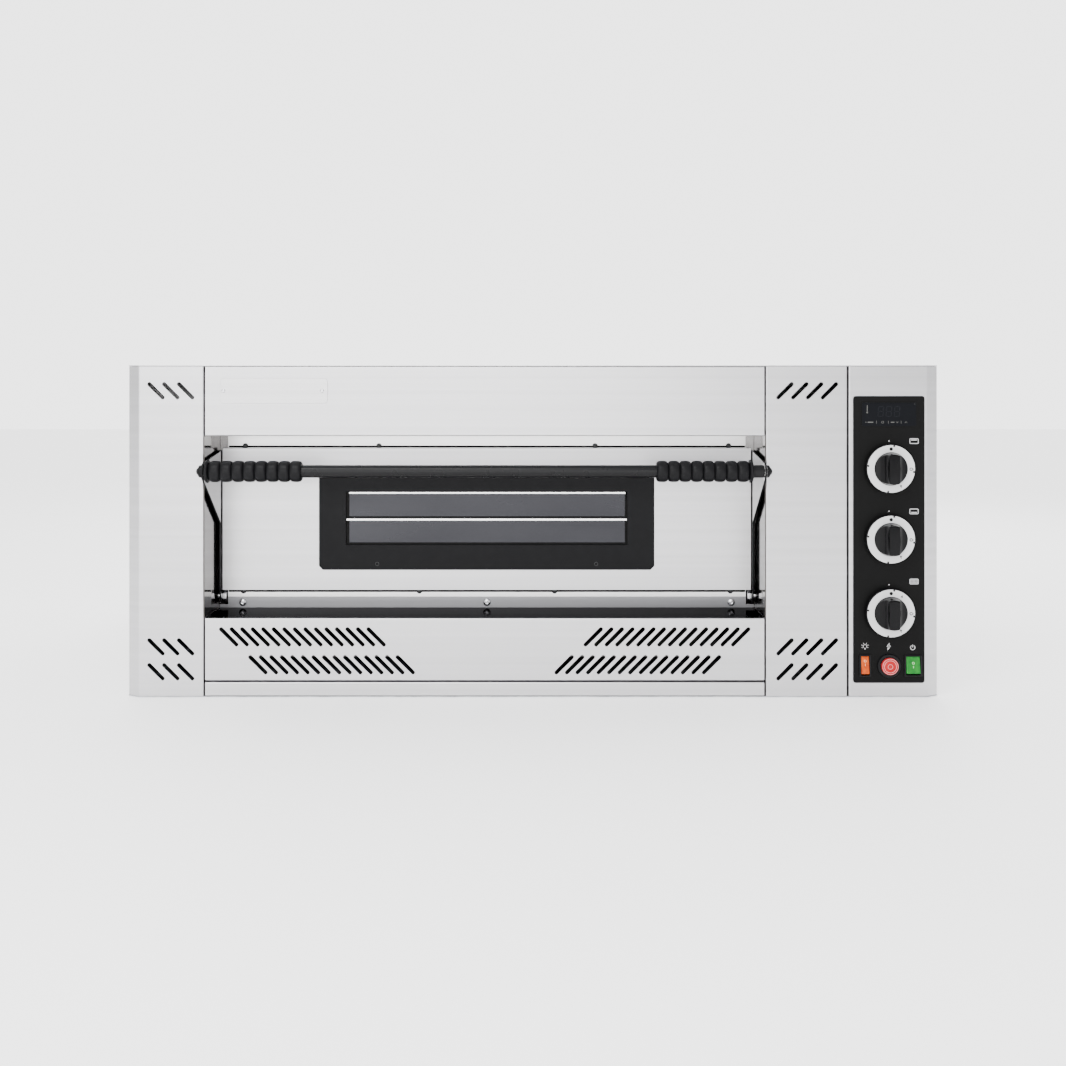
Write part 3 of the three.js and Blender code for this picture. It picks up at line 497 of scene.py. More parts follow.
def turned(name, profile, centre, towards, steps=40):
    """A turned piece: the profile holds (radius, distance towards the named side) from end to end."""
    bpy.ops.mesh.primitive_plane_add(size=0.001)
    piece = bpy.context.object
    piece.name = name
    enter("EDIT")
    bpy.ops.mesh.select_mode(type="VERT")
    bpy.ops.mesh.select_all(action="SELECT")
    bpy.ops.mesh.merge(type="CENTER")
    points = [Vector((along, 0, radius)) for radius, along in profile]
    bpy.ops.transform.translate(value=points[0])
    for before, after in zip(points, points[1:]):
        bpy.ops.mesh.extrude_region_move(TRANSFORM_OT_translate={"value": after - before})
    bpy.ops.mesh.select_all(action="SELECT")
    bpy.ops.mesh.spin(steps=steps, angle=math.tau, center=(0, 0, 0), axis=(1, 0, 0))
    bpy.ops.mesh.select_all(action="SELECT")
    bpy.ops.mesh.remove_doubles(threshold=0.00001)
    bpy.ops.mesh.normals_make_consistent(inside=False)
    enter("OBJECT")
    turn = {
        "right": (0, 0, 0),
        "left": (0, 0, math.pi),
        "front": (0, 0, -math.pi / 2),
        "back": (0, 0, math.pi / 2),
        "up": (0, -math.pi / 2, 0),
    }
    piece.rotation_euler = turn[towards]
    piece.location = centre
    return made_firm(piece)


def joined(name, pieces):
    """Several meshes made one piece."""
    activate(pieces[0])
    for piece in pieces:
        piece.select_set(True)
    bpy.ops.object.join()
    pieces[0].name = name
    return pieces[0]


def pan_head(radius, towards):
    """A domed screw head with a cross recess, standing on the origin."""
    dome = [(radius * math.cos(a), radius * 0.55 * math.sin(a)) for a in (0.0, 0.35, 0.7, 1.05, 1.3)]
    profile = [(0, -0.0003), (radius, -0.0003), *dome, (0, radius * 0.55)]
    head = turned("screw", profile, (0, 0, 0), towards, 20)
    reach, width = radius * 1.1, radius * 0.24
    axis = Vector({"front": (0, -1, 0), "up": (0, 0, 1), "back": (0, 1, 0)}[towards])
    for long_axis in (0, 1, 2):
        if abs(axis[long_axis]) > 0.5:
            continue
        size = [width, width, width]
        size[long_axis] = reach
        centre = axis * radius * 0.55
        cut(head, block("recess", centre - Vector(size) / 2, centre + Vector(size) / 2, 0))
    return head


def screws(name, head, places, slot, finish):
    """The one head is copied to each place on the cabinet, and the copies are joined into one piece."""
    copies = []
    for place in places:
        copy = head.copy()
        copy.data = head.data.copy()
        bpy.context.collection.objects.link(copy)
        copy.location = place
        copies.append(copy)
    bpy.data.objects.remove(head)
    settle(joined(name, copies), "cabinet", slot, finish)


screw_steel = textured("bright_zinc", (0.72, 0.72, 0.74), (0.16, 0.3), (300, 300, 300), 2, 1.0)
screws("top_cover_screws", pan_head(screw_radius, "up"), cover_places, "polished_steel", screw_steel)

# Rear panel. Galvanised sheet with louvre slots, tucked in behind the casings'
# rear flanges and held by screws; the flue, gas and cable pass through it.
finish_cad(zinc, "rear_panel")
flange_middle = 0.010
rear_places = [
    (side * (top_high.x - flange_middle), left_high.y - 0.0001, height)
    for side in (-1, 1)
    for height in (0.05, 0.19, 0.33, 0.47)
]
screws("rear_flange_screws", pan_head(screw_radius, "back"), rear_places, "polished_steel", screw_steel)

# Name plate. A small satin stainless plate, left blank, held on the header by
# a dome-head screw at each end.


def rounded_corners(low, high, radius, steps=6):
    """The outline of a rectangle in the plane, with round corners."""
    points = []
    for turn in range(4):
        corner_u = high[0] - radius if turn in (0, 3) else low[0] + radius
        corner_v = high[1] - radius if turn in (0, 1) else low[1] + radius
        for step in range(steps + 1):
            angle = math.radians(90 * (turn + step / steps))
            points.append((corner_u + radius * math.cos(angle), corner_v + radius * math.sin(angle)))
    return points


plate_low, plate_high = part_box("name_plate")
satin = brushed_steel("satin_steel", "z", (0.56, 0.555, 0.56), (0.32, 0.42))
plate = outline_plate(
    "blank_name_plate",
    rounded_corners((plate_low.x, plate_low.z), (plate_high.x, plate_high.z), 0.0056),
    "y", (plate_low.y, plate_high.y), 0.0004,
)
settle(plate, "cabinet", "brushed_steel", satin, "name_plate")
plate_middle = (plate_low.z + plate_high.z) / 2
plate_places = [
    (plate_low.x + 0.0048, plate_low.y, plate_middle),
    (plate_high.x - 0.0087, plate_low.y, plate_middle),
]
screws("name_plate_screws", pan_head(0.0032, "front"), plate_places, "polished_steel", screw_steel)

# Bay cheeks and mouth frame. Polished sheets line the bay's sides; behind the
# door a bright satin frame, screwed on, leads to the chamber's mouth, and narrow
# wings behind the door arms close the gaps between it and the cheeks.


def refined(node, name, edge, segments=2, angle=30):
    """A merged copy of a node's mesh, its flat faces made whole and its edges rounded."""
    bpy.ops.object.select_all(action="DESELECT")
    piece = bpy.data.objects.new(name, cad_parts[node].data.copy())
    bpy.context.collection.objects.link(piece)
    activate(piece)
    enter("EDIT")
    bpy.ops.mesh.select_all(action="SELECT")
    bpy.ops.mesh.remove_doubles(threshold=0.00001)
    bpy.ops.mesh.dissolve_limited(angle_limit=math.radians(1))
    enter("OBJECT")
    if piece.data.has_custom_normals:
        bpy.ops.mesh.customdata_custom_splitnormals_clear()
    rounded(piece, edge, segments, angle)
    return made_firm(piece)


def fitted(node, name, edge, slot, finish, body="cabinet", segments=2, angle=30):
    """A node's refined copy, settled in the node's place."""
    return settle(refined(node, name, edge, segments, angle), body, slot, finish, node)


# The cheeks' polished steel gets a near-black base: painted shade, for the dark of the bay's sides.
cheek_painted_dark_steel = textured("cheek_steel_painted_shade", (0.095, 0.087, 0.082), (0.05, 0.12), (8, 60, 8), 3, 1.0)
for side in ("left", "right"):
    fitted("bay_cheek_" + side, "bay_cheek_" + side + "_sheet", 0.0004, "polished_steel", cheek_painted_dark_steel)
# The frame's base is near white, brighter than all other steel here: partly its bright satin finish, partly
# painted light for the front light falling on it.
frame_painted_light_steel = brushed_steel("frame_satin_painted_light", "z", (0.88, 0.87, 0.865), (0.34, 0.42))
fitted("mouth_frame", "mouth_frame_sheet", 0.0004, "polished_steel", frame_painted_light_steel)
mouth_low, mouth_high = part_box("mouth_frame")
wing_foot = 0.1625
wings = []
for wall_face, frame_edge in (
    (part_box("bay_cheek_left")[1].x, mouth_low.x),
    (mouth_high.x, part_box("bay_cheek_right")[0].x),
):
    low = (wall_face + 0.0002, mouth_high.y - 0.0002, wing_foot)
    wings.append(block("wing", low, (frame_edge - 0.0002, mouth_high.y + 0.0008, mouth_high.z), 0.0002, 1))
polished = textured("polished_steel", (0.24, 0.235, 0.235), (0.05, 0.13), (8, 8, 60), 3, 1.0)
settle(joined("mouth_frame_wings", wings), "cabinet", "polished_steel", polished)
blackened = textured(
    "blackened_steel", (0.012, 0.012, 0.013), (0.26, 0.42), (220, 220, 220), 3, 0.3, bumps=(0.2, 0.0001)
)
bay_middle = (bay_span[0] + bay_span[1]) / 2
upper_row, lower_row = 0.3985, 0.1545
frame_places = [(bay_middle + x, mouth_low.y, upper_row) for x in (-0.407, -0.182, 0.182, 0.407)]
frame_places += [(bay_middle + x, mouth_low.y, lower_row) for x in (-0.410, -0.114, 0.114, 0.410)]
screws("mouth_frame_screws", pan_head(0.0048, "front"), frame_places, "black_plastic", blackened)

# Door seal. A black silicone cord in front of the mouth frame, squeezed round the door's top and bottom edges
# and glued to the frame; it stands for the dark gap there: painted shade.


def moulded(name, base, roughness, specular, patches, pores, strength, depth=0.0001):
    """Rubber, plastic or paint: broad patches in its gloss, and fine pores in its relief."""
    made = textured(name, base, roughness, (patches, patches, patches), specular=specular)
    relief(made, grain(made, (pores, pores, pores), 2), strength, depth)
    return made


painted_shade_rubber = moulded("painted_shade_rubber", (0.002, 0.002, 0.002), (0.55, 0.7), 0.1, 45, 900, 0.15)
door_low, door_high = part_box("door_skin")
shade_cord_ends = (mouth_low.x + 0.001, mouth_high.x - 0.001)
shade_cord_drop = 0.0051
cord_front, cord_back = mouth_low.y - 0.0016, mouth_low.y - 0.0001
cord_heights = [
    (door_high.z + 0.0004, door_high.z + 0.0036), (door_low.z - shade_cord_drop, door_low.z - 0.0004),
]
cords = [
    block("cord", (shade_cord_ends[0], cord_front, low), (shade_cord_ends[1], cord_back, high), 0.0005)
    for low, high in cord_heights
]
settle(joined("door_seal_painted_shade", cords), "cabinet", "black_plastic", painted_shade_rubber)

# Sill bar. A brushed strip across the bottom of the bay, held by three
# dome-head socket screws, over the polished shelf.
sill_brushed = brushed_steel("sill_steel", "z", (0.27, 0.27, 0.28))
fitted("sill_bar", "sill_strip", 0.0004, "brushed_steel", sill_brushed)
sill_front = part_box("sill_bar")[0].y
dome_radius = 0.0065
socket_radius = 0.0024
dome_rise = 0.0036
dome_points = [
    (dome_radius * math.cos(angle), dome_rise * math.sin(angle)) for angle in (0.0, 0.25, 0.5, 0.75, 0.95)
]
dome_screw = turned(
    "dome_screw",
    [
        (0, -0.0003), (dome_radius, -0.0003), *dome_points, (socket_radius + 0.0003, dome_rise),
        (socket_radius, dome_rise - 0.0003), (socket_radius, 0.001), (0, 0.001),
    ],
    (0, 0, 0), "front", 24,
)
sill_screw_height = 0.1356
sill_places = [(bay_middle + x, sill_front, sill_screw_height) for x in (-0.411, 0.0, 0.411)]
screws("sill_screws", dome_screw, sill_places, "polished_steel", screw_steel)

# Baking chamber. An aluminised steel box wrapped in mineral wool, with two
# refractory stones for a floor, a lamp, three pipe burners and the flue.
heat_tones = ((0.20, 0.19, 0.18), (0.42, 0.41, 0.41))
aluminised = textured(
    "aluminised_sheet", (0.34, 0.34, 0.35), (0.34, 0.56), (9, 9, 9), 5, 0.9, tones=heat_tones
)
finish_cad(aluminised, "chamber_shell")
stone_finish = textured(
    "refractory_stone", (0.62, 0.55, 0.44), (0.82, 0.95), (420, 420, 420),
    tones=((0.50, 0.43, 0.33), (0.70, 0.63, 0.52)), bumps=(0.5, 0.0004),
)
for side in ("left", "right"):
    fitted("stone_" + side, "refractory_stone_" + side, 0.0025, "refractory", stone_finish, segments=3)
mineral_wool = textured(
    "mineral_wool", (0.62, 0.60, 0.42), (0.95, 0.95), (90, 90, 500), 6,
    tones=((0.50, 0.48, 0.30), (0.72, 0.70, 0.54)), bumps=(0.8, 0.002),
)
finish_cad(mineral_wool, "insulation_wrap", "insulation_back")
for node in ("flue_spigot", "lamp_housing", "upper_burner", "rear_burner", "front_burner", "gas_manifold"):
    sheet_finish = aluminised if "burner" in node else zinc
    fitted(node, node + "_sheet", 0.0003, "galvanised", sheet_finish, segments=1, angle=40)
smear = (6, 6, 14)
lamp_glass = textured("lamp_glass", (0.75, 0.77, 0.72), (0.056, 0.112), smear)
dial(lamp_glass, "Transmission Weight", 0.8)
fitted("lamp_glass", "lamp_dome", 0.0004, "clear_glass", lamp_glass)

# Door. A brushed outer skin over an aluminised inner tray, with heat-resistant
# glass in both; it hangs on two pins at its bottom corners and falls forward.
fitted("door_skin", "door_outer_skin", 0.0008, "brushed_steel", level_brushed, "door", 3)
fitted("door_liner", "door_inner_tray", 0.0006, "galvanised", aluminised, "door")
smoked = textured("smoked_mirror_glass", (0.04, 0.04, 0.043), (0.154, 0.308), smear, metallic=1.0)
tint(smoked, grain(smoked, (2.2, 2, 7), 2), (0.026, 0.026, 0.029), (0.038, 0.038, 0.042))
fitted("window_glass", "outer_window_glass", 0.0006, "clear_glass", smoked, "door")
fitted("inner_glass", "inner_window_glass", 0.0006, "clear_glass", smoked, "door")

# Window frame. A black powder-coated steel plate with clipped corners, held
# by two countersunk screws; a steel rail divides the glass at half height.


def powder_coat(name, base, roughness):
    return moulded(name, base, roughness, 0.07, 70, 650, 0.18, 0.00015)


black_coat = powder_coat("black_powder_coat", (0.0060, 0.0060, 0.0066), (0.38, 0.5))
fitted("window_frame", "window_frame_plate", 0.0008, "black_enamel", black_coat, "door", 3)
frame_low, frame_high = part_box("window_frame")
window_left, window_right = bay_middle - 0.235, bay_middle + 0.235
window_bottom, window_top = 0.234, 0.3225
shade_strip_front = frame_low.y + 0.0022
shade_strip_back = frame_high.y - 0.0001
shade_strip_left, shade_strip_right = window_left + 0.0046, window_right - 0.0036
rail_left, rail_right = window_left + 0.0003, window_right - 0.0003
shade_strip_foot = window_bottom + 0.0001
# Black rubber strips along the glass's left, right and bottom edges, and one just above the rail: painted
# shade, for the shadow of the frame's edge and the rail's shadow.
shade_strips = [
    (window_left + 0.0001, shade_strip_foot, shade_strip_left, window_top - 0.0001),
    (shade_strip_right, shade_strip_foot, window_right - 0.0001, window_top - 0.0001),
    (shade_strip_left, shade_strip_foot, shade_strip_right, window_bottom + 0.0034),
    (shade_strip_left, 0.2785, shade_strip_right, 0.2812),
]
shade_strip_pieces = [
    block("window_shade_strips", (left, shade_strip_front, foot), (right, shade_strip_back, top), 0.0005)
    for left, foot, right, top in shade_strips
]
settle(joined("window_shade_strips", shade_strip_pieces), "door", "black_plastic", painted_shade_rubber)
bright_edge = brushed_steel("bright_edge_steel", "z", (0.93, 0.92, 0.91), (0.2, 0.3))
rail_strips = [
    (rail_left, 0.2742, 0.2777, shade_strip_front - 0.0012, 0.0008),
    (shade_strip_left, 0.3192, 0.3222, shade_strip_front, 0.0006),
    (window_right - 0.0018, 0.3105, 0.3195, shade_strip_front, 0.0004),
]
rail_pieces = [
    block("rail", (left, rail_front, foot), (rail_right, shade_strip_back, top), edge)
    for left, foot, top, rail_front, edge in rail_strips
]
settle(joined("glazing_rail", rail_pieces), "door", "polished_steel", bright_edge)


def countersunk(name, radius, centre):
    """A flat head set just under the surface, in a bright rim, with a round socket."""
    return turned(
        name,
        [
            (0, -0.0008), (radius, -0.0008), (radius, 0.0002), (radius * 0.86, 0.0003),
            (radius * 0.62, -0.0002), (radius * 0.34, -0.0002), (radius * 0.30, -0.0006),
            (0, -0.0006),
        ],
        centre, "front", 24,
    )


window_screw_height = 0.202
frame_screws = [
    countersunk("window_frame_screws", 0.0034, (bay_middle + x, frame_low.y, window_screw_height))
    for x in (-0.183, 0.183)
]
settle(joined("window_frame_screws", frame_screws), "door", "black_plastic", blackened)

# Door arms and hinges. Steel arms carry the handle; each turns on a pin with a polished hexagonal nut. Each
# arm's face towards the door is polished, and its other faces get the black coat: painted shade, for the dark
# gap beside the door.
for side, inward in (("left", 1), ("right", -1)):
    arm = refined("door_arm_" + side, "door_arm_plate_" + side, 0.0005)
    arm.data.materials.clear()
    arm.data.materials.append(black_coat)
    arm.data.materials.append(polished)
    # Faces are picked by which way they point; the black coat on all but the inward face is painted shade.
    for face in arm.data.polygons:
        face.material_index = 1 if face.normal.x * inward > 0.9 else 0
    settle(arm, "door", "black_enamel", None, "door_arm_" + side)
    fitted("hinge_pin_" + side, "hinge_pin_nut_" + side, 0.0005, "polished_steel", screw_steel)

# Handle bar. A black satin tube right across the door; its ends pass through
# the arms' bosses, and the right one shows a bright washer.
lacquer = textured(
    "satin_black_lacquer", (0.004, 0.004, 0.0045), (0.25, 0.33), (40, 40, 40), 3, specular=0.15
)
handle_low, handle_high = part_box("handle_bar")
handle_axis = ((handle_low.y + handle_high.y) / 2, (handle_low.z + handle_high.z) / 2)
bar_radius = 0.010
bar_half = 0.4437
spigot_radius = 0.0055
spigot_half = (handle_high.x - handle_low.x) / 2
handle = turned(
    "handle_tube",
    [
        (0, -spigot_half), (spigot_radius, -spigot_half), (spigot_radius, -bar_half),
        (bar_radius - 0.0005, -bar_half), (bar_radius, -bar_half + 0.0005),
        (bar_radius, bar_half - 0.0005), (bar_radius - 0.0005, bar_half), (spigot_radius, bar_half),
        (spigot_radius, spigot_half), (0, spigot_half),
    ],
    (bay_middle, *handle_axis), "right", 64,
)
settle(handle, "door", "black_enamel", lacquer, "handle_bar", angle=50)
arm_inside = 0.444
washer_bore = bar_radius - 0.0018
washer = turned(
    "handle_washer",
    [
        (washer_bore, -0.0003), (0.0128, -0.0003), (0.0132, 0.0001), (0.0132, 0.0029),
        (0.0128, 0.0033), (washer_bore, 0.0033), (washer_bore, -0.0003),
    ],
    (bay_middle + arm_inside, *handle_axis), "right", 32,
)
settle(washer, "door", "polished_steel", bright_edge)
grip_rubber = moulded("grip_rubber", (0.0040, 0.0040, 0.0046), (0.34, 0.46), 0.1, 45, 900, 0.15)
cap_bore = 0.0062
for side in ("left", "right"):
    low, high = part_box("handle_cap_" + side)
    start = high.x if side == "left" else low.x
    length = high.x - low.x
    rim = [(bar_radius - 0.0004, 0.0), (bar_radius, 0.0004), (bar_radius, 0.0035)]
    shoulder = [
        (0.0062 + 0.0038 * math.cos(angle), 0.0035 + 0.0028 * math.sin(angle)) for angle in (0.35, 0.8, 1.3)
    ]
    crown = [
        (0.0058 * math.cos(angle), 0.0063 + (length - 0.0063) * math.sin(angle))
        for angle in (0.0, 0.4, 0.8, 1.2)
    ]
    profile = [(0, 0.003), (cap_bore, 0.003), (cap_bore, 0.0), *rim, *shoulder, *crown, (0, length)]
    cap = turned("handle_end_cap_" + side, profile, (start, *handle_axis), side, 32)
    settle(cap, "door", "black_plastic", grip_rubber, "handle_cap_" + side, angle=40)

# Grips. Two loose sleeves of heat-resistant black plastic, each moulded as
# eight beads with a thin flange at the outer end.
beads = 8
bead_pitch = 0.0183
bead_radius = 0.017
valley_radius = 0.0132
flange_radius = 0.0185
grip_bore = 0.0105


def bead_profile():
    """From the inner end to the outer: eight flat-topped beads, a groove and the flange."""
    points = [(grip_bore, 0.0), (valley_radius - 0.001, 0.0)]
    for bead in range(beads):
        for step in range(13):
            across = 2 * step / 12 - 1
            fullness = (1 - abs(across) ** 2.8) ** 0.5
            radius = valley_radius + (bead_radius - valley_radius) * fullness
            points.append((radius, bead_pitch * (bead + step / 12)))
        points.pop()
    end = beads * bead_pitch
    flange_points = [
        (valley_radius, end), (valley_radius + 0.0012, end + 0.0008),
        (flange_radius - 0.0016, end + 0.0010), (flange_radius - 0.0004, end + 0.0018),
        (flange_radius, end + 0.0034), (flange_radius - 0.0004, end + 0.0050),
        (flange_radius - 0.0016, end + 0.0058), (0.0135, end + 0.0062), (0.0125, end + 0.0070),
        (grip_bore, end + 0.0070),
    ]
    return points + flange_points + [points[0]]


for side in ("left", "right"):
    low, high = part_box("handle_grip_" + side)
    inner_end = high.x if side == "left" else low.x
    grip = turned("beaded_grip_" + side, bead_profile(), (inner_end, *handle_axis), side, 48)
    settle(grip, side + "_grip", "black_plastic", grip_rubber, "handle_grip_" + side, angle=50)

# Control overlay. A matt black printed film with round corners, stuck over
# the control column; its marks are screen-printed in light grey.
film = powder_coat("black_film", (0.0032, 0.0032, 0.0032), (0.42, 0.5))
fitted("control_overlay", "control_film", 0.0003, "black_plastic", film)


def middle(node):
    """The middle of a node, seen from the front."""
    low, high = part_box(node)
    return ((low.x + high.x) / 2, (low.z + high.z) / 2)


knob_x = middle("top_knob")[0]
knob_heights = {name: middle(name + "_knob")[1] for name in ("top", "middle", "bottom")}
ink_span = (overlay_low.y - 0.00012, overlay_low.y + 0.0001)


def ink(name, base):
    return textured(name, base, (0.42, 0.58), (500, 500, 500), 2, specular=0.1)


def around(centre, radius, angles):
    """Points at the radius from the centre, one at each angle."""
    return [(centre[0] + radius * math.cos(a), centre[1] + radius * math.sin(a)) for a in angles]


def printed(outline, span=ink_span):
    return outline_plate("print", outline, "y", span, 0)


def printed_bar(start, end, width, span=ink_span):
    way = Vector((end[0] - start[0], end[1] - start[1])).normalized()
    across = Vector((-way.y, way.x)) * width / 2
    ends = (Vector(start), Vector(end))
    corners = [ends[0] - across, ends[1] - across, ends[1] + across, ends[0] + across]
    return printed([tuple(corner) for corner in corners], span)


def printed_arc(centre, radius, width, start=0.0, sweep=360.0, steps=28, span=ink_span):
    """A band along an arc, from start anticlockwise through sweep, in degrees."""
    reach = sweep - (0.5 if sweep >= 360.0 else 0)
    angles = [math.radians(start + reach * step / steps) for step in range(steps + 1)]
    inner = around(centre, radius - width / 2, angles)
    return printed(around(centre, radius + width / 2, angles) + inner[::-1], span)


def printed_dot(centre, radius, steps=14, span=ink_span):
    return printed(around(centre, radius, [math.tau * step / steps for step in range(steps)]), span)


def printed_frame(centre, size, radius, width, span=ink_span):
    """A rounded rectangle's border, as one band that starts and ends at the same corner."""
    half = (size[0] / 2, size[1] / 2)
    low, high = (centre[0] - half[0], centre[1] - half[1]), (centre[0] + half[0], centre[1] + half[1])
    outer = rounded_corners(low, high, radius, 4)
    inner_low, inner_high = (low[0] + width, low[1] + width), (high[0] - width, high[1] - width)
    inner = rounded_corners(inner_low, inner_high, max(radius - width, 0.0002), 4)
    shift = 0.00002
    first = [(outer[0][0], outer[0][1] - shift)]
    last = [(inner[0][0], inner[0][1] - shift)]
    return printed(outer + first + last + inner[::-1], span)


icon_x = knob_x + 0.0402
icon_size = (0.0146, 0.0088)
dot_above = 0.0440
light_ink = ink("light_ink", (0.50, 0.50, 0.50))
marks = [printed_dot((knob_x, height + dot_above), 0.0010) for height in knob_heights.values()]
icon_heights = {name: height + 0.0438 for name, height in knob_heights.items()}
icon_heights["bottom"] += 0.0052
for height in icon_heights.values():
    marks.append(printed_frame((icon_x, height), icon_size, 0.0020, 0.0011))
for z in (icon_heights["top"] + 0.0018, icon_heights["middle"] - 0.0018):
    marks.append(printed_bar((icon_x - 0.0045, z), (icon_x + 0.0045, z), 0.0014))
grid_height = icon_heights["bottom"]
for step in range(6):
    x = icon_x - 0.005 + 0.002 * step
    marks.append(printed_bar((x, grid_height - 0.0031), (x, grid_height + 0.0031), 0.0009))
for step in range(2):
    z = grid_height - 0.0011 + 0.0022 * step
    marks.append(printed_bar((icon_x - 0.006, z), (icon_x + 0.006, z), 0.0006))
symbol_height = 0.0815
switch_x = {"light": knob_x - 0.0385, "spark": knob_x - 0.0005, "power": knob_x + 0.0380}
bulb = (switch_x["light"], symbol_height + 0.0008)
marks.append(printed_arc(bulb, 0.0027, 0.0007, -55, 290, 20))
marks.append(printed_bar((bulb[0] - 0.0010, bulb[1] - 0.0042), (bulb[0] + 0.0010, bulb[1] - 0.0042), 0.0016))
rays = [math.radians(angle) for angle in (-25, 20, 62, 118, 160, 205)]
for start, end in zip(around(bulb, 0.0041, rays), around(bulb, 0.0060, rays)):
    marks.append(printed_bar(start, end, 0.0007))
bolt = [(0.0016, 0.0058), (-0.0030, 0.0004), (-0.0004, 0.0002)]
bolt += [(-0.0022, -0.0058), (0.0030, 0.0012), (0.0002, 0.0014)]
bolt_points = [(switch_x["spark"] + u, symbol_height + v) for u, v in bolt]
for before, after in zip(bolt_points, bolt_points[1:] + bolt_points[:1]):
    marks.append(printed_bar(before, after, 0.0008))
power = (switch_x["power"], symbol_height - 0.0014)
marks.append(printed_arc(power, 0.0036, 0.0009, 118, 304, 24))
marks.append(printed_bar((power[0], power[1] + 0.0002), (power[0], power[1] + 0.0046), 0.0009))
settle(joined("control_marks", marks), "cabinet", "black_plastic", light_ink)

# Display. A dark tinted window in the film with three unlit figures behind
# it, a small thermometer and, along its foot, four touch keys.
tinted = textured(
    "tinted_window", (0.0030, 0.0034, 0.0046), (0.30, 0.40), (60, 60, 60), 3, specular=0.07
)
fitted("display_lens", "display_window", 0.0002, "black_plastic", tinted)
lens_middle = middle("display_lens")
lens_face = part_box("display_lens")[0].y
lens_ink_span = (lens_face - 0.00012, lens_face + 0.0001)
digit_size = (0.0082, 0.0158)
digit_pitch = 0.0131
digit_lean = 0.0006
stroke = 0.0012
segments = []
for digit in range(3):
    centre = (lens_middle[0] - 0.0003 + digit_pitch * (digit - 1), lens_middle[1] + 0.0047)
    for u in (-1, 1):
        for v in (-1, 1):
            x = centre[0] + u * digit_size[0] / 2
            start = (x + digit_lean * v * 0.1, centre[1] + v * 0.0008)
            end = (x + digit_lean * v, centre[1] + v * (digit_size[1] / 2 - 0.0006))
            segments.append(printed_bar(start, end, stroke, lens_ink_span))
    for v in (-1, 0, 1):
        x = centre[0] + digit_lean * v
        z = centre[1] + v * digit_size[1] / 2
        segments.append(printed_bar((x - 0.0033, z), (x + 0.0033, z), stroke, lens_ink_span))
unlit = ink("unlit_segments", (0.0050, 0.0058, 0.0080))
settle(joined("display_figures", segments), "cabinet", "black_plastic", unlit)


def on_lens(u, v):
    return (lens_middle[0] + u, lens_middle[1] + v)


key_line = -0.0125
key_mark = 0.0005
keys = [
    printed_bar(on_lens(-0.0352, 0.0030), on_lens(-0.0352, 0.0147), 0.0011, lens_ink_span),
    printed_dot(on_lens(-0.0352, 0.0030), 0.0014, 12, lens_ink_span),
    printed_dot(on_lens(0.0410, 0.0166), 0.0005, 10, lens_ink_span),
    printed_dot(on_lens(-0.0372, key_line), 0.0008, 10, lens_ink_span),
    printed_bar(on_lens(-0.0345, key_line), on_lens(-0.0255, key_line), 0.0015, lens_ink_span),
    printed_arc(on_lens(-0.0105, key_line), 0.0017, key_mark, 0, 360, 18, lens_ink_span),
    printed_bar(on_lens(0.0026, key_line), on_lens(0.0085, key_line), 0.0013, lens_ink_span),
]
for u, way in ((0.0128, -1), (0.0271, 1)):
    for side in (-1, 1):
        start = on_lens(u + side * 0.0018, key_line - way * 0.0012)
        keys.append(printed_bar(start, on_lens(u, key_line + way * 0.0012), key_mark, lens_ink_span))
for u in (-0.0205, -0.0013, 0.0192):
    ends = (on_lens(u, key_line - 0.0024), on_lens(u, key_line + 0.0024))
    keys.append(printed_bar(*ends, key_mark, lens_ink_span))
dim_ink = ink("dim_ink", (0.095, 0.095, 0.090))
settle(joined("display_keys", keys), "cabinet", "black_plastic", dim_ink)

# Gas knobs. Black glossy plastic, a flat skirt with a light grey scale ring
# and a grip bar left between two hollowed sides; each pushes onto its tap.
skirt_radius = 0.040
ring_inner, ring_outer = 0.0267, 0.0379
hub_radius = 0.0262
bar_half_width = 0.0082
knob_low, knob_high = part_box("top_knob")
skirt_front = knob_low.y + 0.0220
knob_front = knob_low.y


def gloss_plastic(name, base, roughness, specular):
    return moulded(name, base, roughness, specular, 35, 500, 0.05)


knob_black = gloss_plastic("knob_black", (0.0020, 0.0020, 0.0024), (0.16, 0.26), 0.12)
ring_grey = gloss_plastic("ring_grey", (0.60, 0.60, 0.60), (0.38, 0.5), 0.3)
mark_black = ink("mark_black", (0.002, 0.002, 0.002))


def knob_hub(centre):
    """The hub is turned, then its two sides are scooped out along the bar."""
    depth = skirt_front - knob_front
    skirt_back = skirt_front - knob_high.y
    hub = turned(
        "knob",
        [
            (0, skirt_back), (skirt_radius - 0.0010, skirt_back),
            (skirt_radius, skirt_back + 0.0010), (skirt_radius, -0.0014),
            (skirt_radius - 0.0005, -0.0005), (skirt_radius - 0.0016, 0.0),
            (hub_radius + 0.0004, 0.0), (hub_radius, 0.0004), (hub_radius - 0.0012, depth * 0.5),
            (hub_radius - 0.0024, depth - 0.0020), (hub_radius - 0.0032, depth - 0.0006),
            (hub_radius - 0.0046, depth), (0, depth),
        ],
        (centre[0], skirt_front, centre[1]), "front", 72,
    )
    scoop_radius = 0.0190
    for side in (-1, 1):
        bpy.ops.mesh.primitive_cylinder_add(radius=scoop_radius, depth=0.08, vertices=64, location=(0, 0, 0))
        scoop = made_firm(bpy.context.object)
        stretch(scoop, lambda point: point.x * side > 0.001, (side * 0.02, 0, 0))
        scoop_x = centre[0] + side * (bar_half_width + scoop_radius)
        scoop.location = (scoop_x, skirt_front - 0.0012 - scoop_radius, centre[1])
        cut(hub, scoop)
    rounded(hub, 0.0007, 3, 32)
    return made_firm(hub)


